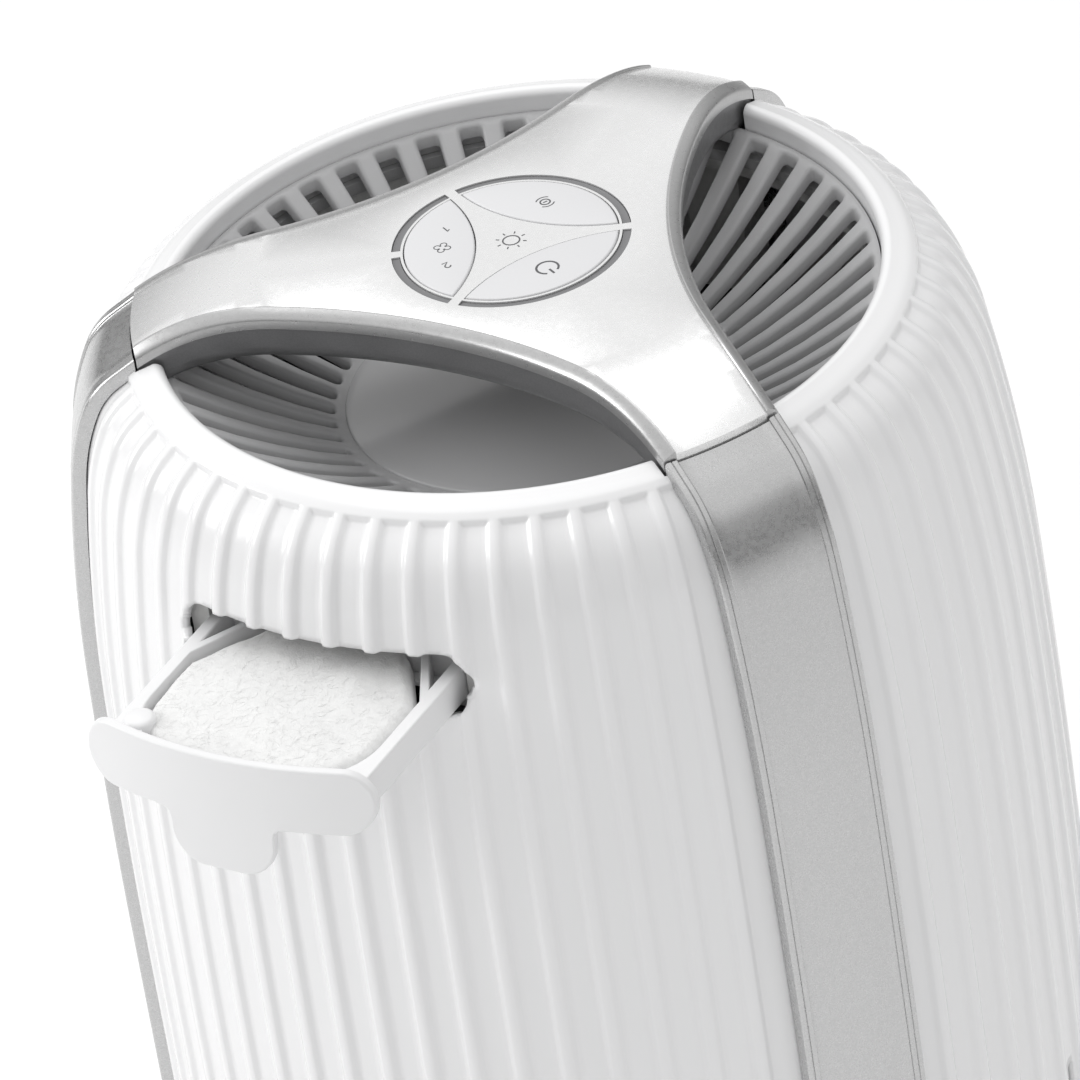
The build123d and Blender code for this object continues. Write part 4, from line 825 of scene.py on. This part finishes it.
def make_bridge():
    """Cover with its raised rails and openings, and the deeper pan under it."""
    rail_w = RAIL_PROFILE[-1][0]
    curves = bridge_curves([d for d, _ in COVER_PROFILE], BRIDGE_R)
    curves += [(lens_curve(a, 0.0), True) for a in KEYS.values()]
    curves += [(light_curve(ends, 0.0), True) for ends in LIGHTS.values()]

    def in_cover(x, y):
        if hypot(x, y) > BRIDGE_R or scoop_distance(x, y) < rail_w or in_light(x, y, 0.0):
            return False
        return all(lens_distance(x, y, a) < 0 for a in KEYS.values())

    def in_rail(x, y):
        return hypot(x, y) < BRIDGE_R and 0 < scoop_distance(x, y) < rail_w

    under = on_dome([(0.0, -COVER_SIDE)])
    make_piece("bridge_cover_skin", *slab(curves, in_cover, on_dome(COVER_PROFILE), under),
               "bridge_pearl", "housing", ["bridge_cover"], 25.0)
    curves = bridge_curves([d for d, _ in RAIL_PROFILE], BRIDGE_R)
    # the rails get a darker silver than the cover: silver trim, and in part painted shade of their
    # slopes
    make_piece("bridge_cover_rails", *slab(curves, in_rail, on_dome(RAIL_PROFILE), under),
               "rail_silver", "housing", ["bridge_cover"], 25.0)

    def in_pan(x, y):
        return hypot(x, y) < BRIDGE_R and scoop_distance(x, y) > PAN_PROFILE[0][0]

    curves = bridge_curves([d for d, _ in PAN_PROFILE], BRIDGE_R)
    under = on_dome([(0.0, -COVER_SIDE - PAN_GAP)])
    make_piece("bridge_pan_shell", *slab(curves, in_pan, under, on_dome(PAN_PROFILE)),
               "pan_grey", "housing", ["bridge_pan"], 32.0)


KEY_EDGE = [(0.0, -0.3), (0.08, -0.12), (0.22, -0.03), (0.4, 0.0)]


def make_keys():
    """Lens-shaped keys with softened rims."""
    for name, azimuth in KEYS.items():
        shifts = [d for d, _ in KEY_EDGE]
        curves = [(lens_curve(azimuth, -KEY_GAP - d), True) for d in shifts]

        def key_top(x, y):
            d = lens_distance(x, y, azimuth) - KEY_GAP
            return (x, y, BRIDGE_TOP + KEY_PROUD + bent(KEY_EDGE, d))

        solid = slab(curves, lambda x, y: lens_distance(x, y, azimuth) > KEY_GAP, key_top,
                     flat(BRIDGE_TOP + KEY_PROUD - KEY_T))
        make_piece(f"{name}_cap", *solid, "key_pearl", name, [name], 40.0)


def make_lights():
    """Light guides, a little below the cover's surface."""
    for name, ends in LIGHTS.items():
        solid = slab([(light_curve(ends, LIGHT_FIT), True)],
                     lambda x, y: in_light(x, y, LIGHT_FIT),
                     flat(BRIDGE_TOP - LIGHT_SINK), flat(BRIDGE_TOP - LIGHT_H))
        make_piece(f"{name}_bar", *solid, "light_grey", "housing", [name], 40.0)


# ---------------------------------------------------------------- legends
PRINT_T = 0.03
READ_UP = 330.0             # the legends' upward direction


def stroke(path, width, closed=False):
    """Flat band along a path: its two edges as lists of points."""
    count = len(path)
    left, right = [], []
    for i, p in enumerate(path):
        before = path[(i - 1) % count] if closed or i else p
        after = path[(i + 1) % count] if closed or i < count - 1 else p
        along = Vector((after[0] - before[0], after[1] - before[1])).normalized()
        left.append((p[0] - along.y * width / 2, p[1] + along.x * width / 2))
        right.append((p[0] + along.y * width / 2, p[1] - along.x * width / 2))
    return left, right


def print_legend(name, strokes, azimuth, out, z, body):
    """Printed marks: each stroke is (path, width, closed) in reading directions."""
    points, faces = [], []
    origin = level_point(azimuth, out)
    for path, width, closed in strokes:
        left, right = stroke(path, width, closed)
        base, count = len(points), len(path)
        for side in (left, right):
            for level in (z, z + PRINT_T):
                for u, v in side:
                    x, y = level_point(READ_UP, v, -u)
                    points.append((origin[0] + x, origin[1] + y, level))
        rings = [base, base + count, base + 3 * count, base + 2 * count]
        for i in range(count if closed else count - 1):
            k = (i + 1) % count
            for a, b in zip(rings, rings[1:] + rings[:1]):
                faces.append((a + i, a + k, b + k, b + i))
        if not closed:
            faces.append(tuple(rings))
            faces.append(tuple(a + count - 1 for a in reversed(rings)))
    make_piece(name, points, faces, "print_grey", body, sharp=30.0)


def make_legends():
    """Generic marks: power, fan with speeds 1 and 2, sun, and charged air."""
    bold, line, slim, thin, hair = 0.42, 0.3, 0.26, 0.24, 0.2
    key_z = BRIDGE_TOP + KEY_PROUD
    power = [(arc_points((0, 0), 2.1, 122, 418, 40), bold, False),
             ([(0, 0.7), (0, 2.5)], bold, False)]
    print_legend("power_mark", power, KEYS["power_key"], 13.2, key_z, "power_key")
    rays = []
    for k in range(8):
        a = radians(45 * k)
        rays.append(([(2.3 * cos(a), 2.3 * sin(a)), (3.0 * cos(a), 3.0 * sin(a))], slim, False))
    sun = [(circle(1.6), line, True)] + rays
    print_legend("light_mark", sun, 0.0, 0.0, BRIDGE_TOP, "housing")
    fan = []
    for k in range(4):
        turn = 45 + 90 * k
        centre = (cos(radians(turn)), sin(radians(turn)))
        fan.append((arc_points(centre, 0.62, turn - 150, turn + 150, 20), hair, False))
    print_legend("fan_mark", fan, KEYS["fan_speed_key"], 13.0, key_z, "fan_speed_key")
    one = [([(-0.45, 0.45), (0.1, 0.9), (0.1, -0.9)], slim, False)]
    two = [(arc_points((0, 0.35), 0.55, 170, -35, 14) + [(-0.55, -0.9), (0.6, -0.9)], slim, False)]
    x, y = level_point(KEYS["fan_speed_key"], 12.2)
    for name, strokes, side in (("speed_one_mark", one, -1), ("speed_two_mark", two, 1)):
        away = level_point(KEYS["fan_speed_key"], 0.0, 6.3 * side)
        at = Vector((x + away[0], y + away[1]))
        print_legend(name, strokes, azimuth_of(at.x, at.y), at.length, key_z, "fan_speed_key")
    ion = [(circle(0.95), line, True), ([(-0.45, 0), (0.45, 0)], line, False)]
    ion += [(arc_points((0, 0), 1.75, start, start + 100, 16), thin, False) for start in (40, 220)]
    print_legend("ion_mark", ion, KEYS["ion_key"], 13.4, key_z, "ion_key")


# ---------------------------------------------------------------- outlet grille
def bowl_z(r):
    """Height of the bowl's top at a radius."""
    low, high = BOWL_Z
    t = (r - HUB_R) / (SLOT_R[1] - HUB_R)
    if t <= 0:
        return RIM_Z + low
    if t >= 1:
        return RIM_Z + high
    return RIM_Z + low + (high - low) * t - 4 * BOWL_SAG * t * (1 - t)


def slot_curve(azimuth, grow):
    """Outline of one grille slot: a tapered bar of space with rounded ends."""
    (r0, r1), (w0, w1) = SLOT_R, SLOT_HALF
    corner = SLOT_CORNER + grow
    r0, r1, w0, w1 = r0 - grow, r1 + grow, w0 + grow, w1 + grow
    outline = arc_points((r1 - corner, w1 - corner), corner, 90, 0, 5)
    outline += arc_points((r1 - corner, corner - w1), corner, 0, -90, 5)
    outline += [(r1 + (r0 - r1) * f, -(w1 + (w0 - w1) * f)) for f in (0.25, 0.5, 0.75)]
    tight = min(corner, w0 * 0.98)
    outline += arc_points((r0 + tight, tight - w0), tight, 270, 180, 5)
    outline += arc_points((r0 + tight, w0 - tight), tight, 180, 90, 5)
    outline += [(r1 + (r0 - r1) * f, w1 + (w0 - w1) * f) for f in (0.75, 0.5, 0.25)]
    return [level_point(azimuth, u, v) for u, v in outline]


def slot_distance(x, y):
    """Distance outside the nearest slot; negative inside it."""
    pitch = 360 / SLOTS
    turn = round(azimuth_of(x, y) / pitch) * pitch
    u, v = level_point(-turn, x, y)
    (r0, r1), (w0, w1) = SLOT_R, SLOT_HALF
    half = w0 + (w1 - w0) * (max(r0, min(r1, u)) - r0) / (r1 - r0)
    beyond = max(r0 - u, u - r1) + SLOT_CORNER
    aside = abs(v) - half + SLOT_CORNER
    return min(max(beyond, aside), 0.0) + hypot(max(beyond, 0.0), max(aside, 0.0)) - SLOT_CORNER


BAR_ROUND = [(0.0, -0.85), (0.22, -0.45), (0.5, -0.16), (0.9, -0.02), (1.2, 0.0)]


def make_grille():
    """Bowl of rounded bars between the hub's disc and the outer band, with its seat."""
    curves = [(circle(GRILLE_R, 288), True), (circle(SLOT_R[1] + 1.0, 192), True),
              (circle(HUB_R - 1, 96), True), (circle(8.0, 24), True)]
    for k in range(SLOTS):
        azimuth = k * 360 / SLOTS
        curves += [(slot_curve(azimuth, d), True) for d, _ in BAR_ROUND[:4]]

    def in_grille(x, y):
        return hypot(x, y) < GRILLE_R and slot_distance(x, y) > 0

    def grille_top(x, y):
        return (x, y, bowl_z(hypot(x, y)) + bent(BAR_ROUND, slot_distance(x, y)))

    def grille_bottom(x, y):
        return (x, y, bowl_z(hypot(x, y)) - GRILLE_T)

    # the bowl's grey is partly its plastic and partly painted shade of the recessed opening
    make_piece("outlet_grille_bowl", *slab(curves, in_grille, grille_top, grille_bottom),
               "grille_grey", "housing", ["outlet_grille"], 40.0)
    inner, top = GRILLE_R - SEAT_LAP, RIM_Z - LIP_DEPTH - 0.2
    profile = [(inner, top - SEAT_T), (inner, top), (SEAT_R, top), (SEAT_R, top - SEAT_T)]
    make_piece("outlet_grille_seat", *revolved(profile, closed=True), "grille_grey", "housing",
               sharp=30.0)


def make_hub():
    """Smooth shallow dome over the grille's hub."""
    radius, edge, rise = HUB_R - 0.4, 0.8, 3.0
    base = RIM_Z + BOWL_Z[0]
    crown = rise - edge
    crown_r = (radius ** 2 + crown ** 2) / (2 * crown)
    profile = [(0.01, base), (radius, base), (radius, base + edge - 0.3),
               (radius - 0.1, base + edge - 0.08)]
    for k in range(25):
        r = (radius - 0.35) * (1 - k / 24) + 0.01
        profile.append((r, base + rise - crown_r + sqrt(crown_r ** 2 - r * r)))
    make_piece("hub_cap_dome", *revolved(profile), "hub_grey", "housing", ["hub_cap"], 40.0)


# ---------------------------------------------------------------- aroma tray
def front_y(x, z, inset):
    """Place of the tray's curved front plate."""
    radius = side_radius(z, inset)
    return -TRAY_TRAVEL - sqrt(radius * radius - x * x)


def front_outline():
    """Front plate: a stadium with a rounded thumb tab below its middle, as (x, z)."""
    half, round_r = FRONT_W / 2, FRONT_H / 2
    middle = RIM_Z + FRONT_MID
    low, tip = middle - round_r, RIM_Z + TAB_LOW
    tab = [(TAB_HALF_W + 1.9, low), (TAB_HALF_W + 0.9, low - 0.25), (TAB_HALF_W + 0.25, low - 0.9),
           (TAB_HALF_W, low - 1.9)]
    tab += arc_points((TAB_HALF_W - TAB_CORNER, tip + TAB_CORNER), TAB_CORNER, -4, -90, 12)
    outline = arc_points((half - round_r, middle), round_r, 90, -90, 19)
    outline += [(20.0, low)] + tab
    outline += [(-x, z) for x, z in reversed(tab)] + [(-20.0, low)]
    outline += arc_points((round_r - half, middle), round_r, 270, 90, 19)
    outline += [(x, middle + round_r) for x in (-18.0, -12.0, -6.0, 0.0, 6.0, 12.0, 18.0)]
    return outline


def in_polygon(outline, x, y):
    """Whether a point is in a closed outline."""
    inside = False
    for (x0, y0), (x1, y1) in zip(outline, outline[1:] + outline[:1]):
        if (y0 > y) != (y1 > y) and x < x0 + (x1 - x0) * (y - y0) / (y1 - y0):
            inside = not inside
    return inside


FLARE_W = 11.0
FLARE_L = 13.5
FLARE_Y = -103.5


def flare_curve(inner, gap):
    """Curve in which an arm's inner edge widens into the front plate."""
    turns = [radians(a) for a in range(0, 91, 10)]
    return [(inner - gap - FLARE_W * (1 - cos(t)), gap + FLARE_Y - FLARE_L * sin(t))
            for t in turns]


def make_tray_front():
    """Curved front plate with its thumb tab."""
    outline = front_outline()
    dots = [([(x, RIM_Z + z)], False) for x in range(-24, 25, 4) for z in (-29, -32.25, -35.5)]
    solid = slab([(outline, True)] + dots, lambda x, z: in_polygon(outline, x, z),
                 lambda x, z: (x, front_y(x, z, -FRONT_STAND), z),
                 lambda x, z: (x, front_y(x, z, FRONT_T - FRONT_STAND), z))
    make_piece("aroma_tray_front", *solid, "tray_white", "aroma_tray", ["aroma_tray"], 40.0, 0.5)


def make_tray_arm(name, side):
    """Side arm, widened into the front plate and braced to the rear bar; side is -1 or 1."""
    inner = TRAY_HALF_W - ARM_T
    flare = flare_curve(inner, 0.0)
    mid_z = (TRAY_LOW + TRAY_TOP) / 2
    foot = [(x, front_y(x, mid_z, FRONT_T - FRONT_STAND - 0.4))
            for x in (flare[-1][0], 17.0, 20.0, 23.5, TRAY_HALF_W)]
    gusset = [(inner - 9.0, TRAY_REAR_Y), (inner, TRAY_REAR_Y - 17.0)]
    shape = [(TRAY_HALF_W, TRAY_REAR_Y)] + gusset + flare + foot
    shape = [(side * x, y) for x, y in shape]
    window = [(side * (inner - x), TRAY_REAR_Y - y)
              for x, y in ((0.2, 12.8), (0.2, 1.6), (6.4, 1.6))]

    def in_arm(x, y):
        return in_polygon(shape, x, y) and not in_polygon(window, x, y)

    solid = slab([(shape, True), (window, True)], in_arm, flat(TRAY_TOP), flat(TRAY_LOW))
    make_piece(f"aroma_tray_arm_{name}", *solid, "tray_white", "aroma_tray", sharp=40.0,
               bevel=0.35)


def make_tray_rack():
    """Rear bar between the arms, and the flat bars under the pad."""
    inner = TRAY_HALF_W - ARM_T - 0.2
    bars = [(-inner, inner, TRAY_REAR_Y - 2.0, TRAY_REAR_Y, TRAY_LOW, TRAY_TOP)]
    bars += [(-inner, inner, y - 2.6, y, TRAY_LOW, TRAY_LOW + 1.2)
             for y in (-75.5, -87.0, -98.5, -110.0)]
    bars += [(x, x + 4.0, -113.0, TRAY_REAR_Y, TRAY_LOW + 0.02, TRAY_LOW + 1.18)
             for x in (-inner, inner - 4.0)]
    points, faces = [], []
    for x0, x1, y0, y1, z0, z1 in bars:
        base = len(points)
        points += [(x, y, z) for z in (z0, z1) for x, y in ((x0, y0), (x1, y0), (x1, y1), (x0, y1))]
        faces += [tuple(base + i for i in f) for f in ((3, 2, 1, 0), (4, 5, 6, 7), (0, 1, 5, 4),
                                                       (1, 2, 6, 5), (2, 3, 7, 6), (3, 0, 4, 7))]
    make_piece("aroma_tray_rack", points, faces, "tray_white", "aroma_tray", sharp=40.0, bevel=0.2)


def make_tray_boss():
    """Small round boss in the tray's left front corner."""
    boss, faces = revolved([(0.01, TRAY_LOW + 1.0), (2.8, TRAY_LOW + 1.0), (3.1, TRAY_LOW + 1.6),
                            (3.1, TRAY_TOP + 0.3), (2.8, TRAY_TOP + 0.75), (2.2, TRAY_TOP + 1.0),
                            (0.01, TRAY_TOP + 1.1)], 40)
    points = [(x - TRAY_HALF_W + 4.6, y - 111.5, z) for x, y, z in boss]
    make_piece("aroma_tray_boss", points, faces, "tray_white", "aroma_tray", sharp=50.0)


def make_tray():
    """The open tray that carries the pad."""
    make_tray_front()
    for name, side in (("left", -1), ("right", 1)):
        make_tray_arm(name, side)
    make_tray_rack()
    make_tray_boss()


PAD_HALF = 24.2
PAD_REAR_HALF = 14.3
PAD_LOW = TRAY_LOW + 1.25
FIBRE_TRIES = 1500
FIBRE_POINTS = 5


def pad_outline():
    """Plan outline of the pad: tucked behind the plate, narrowed between the gussets."""
    radius = side_radius(TRAY_TOP, FRONT_T - FRONT_STAND) - 1.0
    front = []
    flare = flare_curve(PAD_HALF, 0.25)
    for k in range(25):
        x = flare[-1][0] * (1 - k / 12)
        front.append((x, -TRAY_TRAVEL - sqrt(radius * radius - x * x)))
    rear = TRAY_REAR_Y - 2.4
    side = [(-x, y) for x, y in reversed(flare[:-1])]
    side += [(-PAD_HALF, -100.0), (-PAD_HALF, -91.2), (-PAD_REAR_HALF - 0.8, rear - 1.4),
             (-PAD_REAR_HALF + 0.6, rear)]
    return front + side + [(-x, y) for x, y in reversed(side)]


def edge_distance(outline, x, y):
    """Distance from a point to a closed outline."""
    best = 1e9
    for (x0, y0), (x1, y1) in zip(outline, outline[1:] + outline[:1]):
        dx, dy = x1 - x0, y1 - y0
        t = max(0.0, min(1.0, ((x - x0) * dx + (y - y0) * dy) / (dx * dx + dy * dy)))
        best = min(best, hypot(x - x0 - t * dx, y - y0 - t * dy))
    return best


def pad_height(outline, x, y):
    """Top of the crowned felt: rounded over at its edges and slightly lumpy."""
    d = edge_distance(outline, x, y)
    rounding = sqrt(max(0.0, 1 - max(0.0, 1 - d / 2.0) ** 2))
    crown = 0.9 * ease(d / 14.0)
    lumps = noise.noise(Vector((x, y, 0.0)) * 0.12) * 0.4
    fuzz = noise.noise(Vector((x, y, 9.0)) * 0.7) * 0.12
    return PAD_LOW + 0.4 + (4.6 + crown + lumps + fuzz) * rounding


def make_pad():
    """Needle-felt pad, its face meshed finely enough for its lumps."""
    outline = pad_outline()
    step = 0.9
    rows = ceil(60 / step)
    dots = []
    for i in range(rows):
        for j in range(rows):
            x = -27 + i * step + (j % 2) * step / 2
            y = -125 + j * step
            if in_polygon(outline, x, y) and edge_distance(outline, x, y) > 0.35:
                dots.append(([(x, y)], False))
    solid = slab([(outline, True)] + dots, lambda x, y: in_polygon(outline, x, y),
                 lambda x, y: (x, y, pad_height(outline, x, y)), flat(PAD_LOW))
    pad = make_piece("aroma_pad_felt", *solid, "felt", "aroma_tray", ["aroma_pad"], 80.0)
    make_fibres(outline)


def make_fibres(outline):
    """Loose fibres on the pad's face: thin, slightly curled three-sided threads."""
    seeded = random.Random(7)
    points, faces = [], []
    for _ in range(FIBRE_TRIES):
        x, y = seeded.uniform(-25, 25), seeded.uniform(-122, -75)
        if not in_polygon(outline, x, y) or edge_distance(outline, x, y) < 1.0:
            continue
        heading, curl = seeded.uniform(0, 2 * pi), seeded.uniform(-0.9, 0.9)
        lift, width = seeded.uniform(0.02, 0.12), seeded.uniform(0.012, 0.024)
        base, length = len(points), seeded.uniform(1.2, 3.4)
        for k in range(FIBRE_POINTS):
            t = k / (FIBRE_POINTS - 1)
            along = (-sin(heading), cos(heading))
            z = pad_height(outline, x, y) + 0.03 + lift * 4 * t * (1 - t)
            points += [(x + along[0] * width, y + along[1] * width, z),
                       (x - along[0] * width, y - along[1] * width, z), (x, y, z + width * 1.4)]
            x += cos(heading) * length / FIBRE_POINTS
            y += sin(heading) * length / FIBRE_POINTS
            heading += curl / 2
        for k in range(FIBRE_POINTS - 1):
            a, b = base + 3 * k, base + 3 * k + 3
            faces += [(a, a + 1, b + 1, b), (a + 1, a + 2, b + 2, b + 1), (a + 2, a, b, b + 2)]
        last = base + 3 * (FIBRE_POINTS - 1)
        faces += [(base + 2, base + 1, base), (last, last + 1, last + 2)]
    make_piece("aroma_pad_fibres", points, faces, "felt", "aroma_tray", sharp=80.0)


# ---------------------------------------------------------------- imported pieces
def dress_packed_nodes():
    """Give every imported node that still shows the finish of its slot."""
    finish = {part["node"]: part["material_slot"] for part in frame["record"]["subparts"]}
    for name, obj in frame["nodes"].items():
        material = MATERIALS[finish[name]]
        if not obj.material_slots:
            obj.data.materials.append(material)
        for place in obj.material_slots:
            place.material = material


# ---------------------------------------------------------------- studio
VIEW_AZIMUTH = 33.83
VIEW_ELEVATION = 33.963
VIEW_ROLL = -9.132
VIEW_DISTANCE = 1.68
VIEW_LENS = 292.75
AIM_RIGHT = -3.579
AIM_DROP = 58.444
FLOOR_REACH = 6.0           # metres
SKY_RISE = 0.56             # sine of the elevation where the surroundings are brightest
SKY = (0.1, 0.92)           # their strength at the horizon and there
# place and size in metres, power in watts
SOFTBOXES = {"overhead_softbox": ((-0.25, 0.35, 1.5), 1.0, 4.0),
             "left_softbox": ((-1.3, -0.65, 0.9), 0.7, 9.0)}


def make_camera():
    """Camera looking down at the top, rolled, at the product's usual three-quarter view."""
    a, e, roll = radians(VIEW_AZIMUTH), radians(VIEW_ELEVATION), radians(VIEW_ROLL)
    back = Vector((sin(a) * cos(e), -cos(a) * cos(e), sin(e)))
    right = Vector((cos(a), sin(a), 0))
    up = back.cross(right)
    across = right * cos(roll) + up * sin(roll)
    upward = up * cos(roll) - right * sin(roll)
    aim = right * AIM_RIGHT * MM + Vector((0, 0, RIM_Z - AIM_DROP)) * MM
    data = bpy.data.cameras.new("camera")
    data.sensor_width = 36.0
    data.lens = VIEW_LENS
    data.clip_start, data.clip_end = 0.05, 50.0
    camera = bpy.data.objects.new("camera", data)
    turn = Matrix((across, upward, back)).transposed().to_4x4()
    camera.matrix_world = Matrix.Translation(aim + back * VIEW_DISTANCE) @ turn
    bpy.context.scene.collection.objects.link(camera)
    bpy.context.scene.camera = camera


def area_light(name, place, size, power, aim=(0.0, 0.0, 0.22)):
    """A square softbox aimed at the object, in metres and watts."""
    data = bpy.data.lights.new(name, "AREA")
    data.shape = "SQUARE"
    data.size = size
    data.energy = power
    light = bpy.data.objects.new(name, data)
    light.location = place
    light.rotation_mode = "QUATERNION"
    light.rotation_quaternion = (Vector(aim) - Vector(place)).to_track_quat("-Z", "Y")
    bpy.context.scene.collection.objects.link(light)


def make_studio():
    """Pale floor, surroundings that darken towards the horizon and two softboxes."""
    mesh = bpy.data.meshes.new("floor")
    corners = ((-1, -1), (1, -1), (1, 1), (-1, 1))
    mesh.from_pydata([(x * FLOOR_REACH, y * FLOOR_REACH, 0) for x, y in corners], [],
                     [(0, 1, 2, 3)])
    mat, tree, shader = node_material("floor_white", (0.93, 0.93, 0.93), 0.9, specular=0.1)
    tint(tree, shader, object_noise(tree, 3.0), (0.92, 0.92, 0.92), (0.94, 0.94, 0.94))
    mesh.materials.append(mat)
    floor = bpy.data.objects.new("floor", mesh)
    bpy.context.scene.collection.objects.link(floor)
    world = bpy.data.worlds.new("studio")
    world.use_nodes = True
    background = world.node_tree.nodes["Background"]
    place = world.node_tree.nodes.new("ShaderNodeTexCoord")
    split = world.node_tree.nodes.new("ShaderNodeSeparateXYZ")
    rise = new_node(world.node_tree, "ShaderNodeMapRange",
                    {"From Min": 0.0, "From Max": SKY_RISE, "To Min": SKY[0], "To Max": SKY[1]})
    links = world.node_tree.links
    links.new(place.outputs["Generated"], split.inputs["Vector"])
    links.new(split.outputs["Z"], rise.inputs["Value"])
    links.new(rise.outputs["Result"], background.inputs["Strength"])
    background.inputs["Color"].default_value = (1, 1, 1, 1)
    bpy.context.scene.world = world
    bpy.context.scene.view_settings.view_transform = "Standard"
    for name, softbox in SOFTBOXES.items():
        area_light(name, *softbox)


# ---------------------------------------------------------------- assembly
make_camera()
make_studio()
make_shells()
for arm, arm_azimuth in ARMS.items():
    make_strip(arm, arm_azimuth)
make_bridge()
make_keys()
make_lights()
make_legends()
make_grille()
make_hub()
make_tray()
make_pad()
dress_packed_nodes()
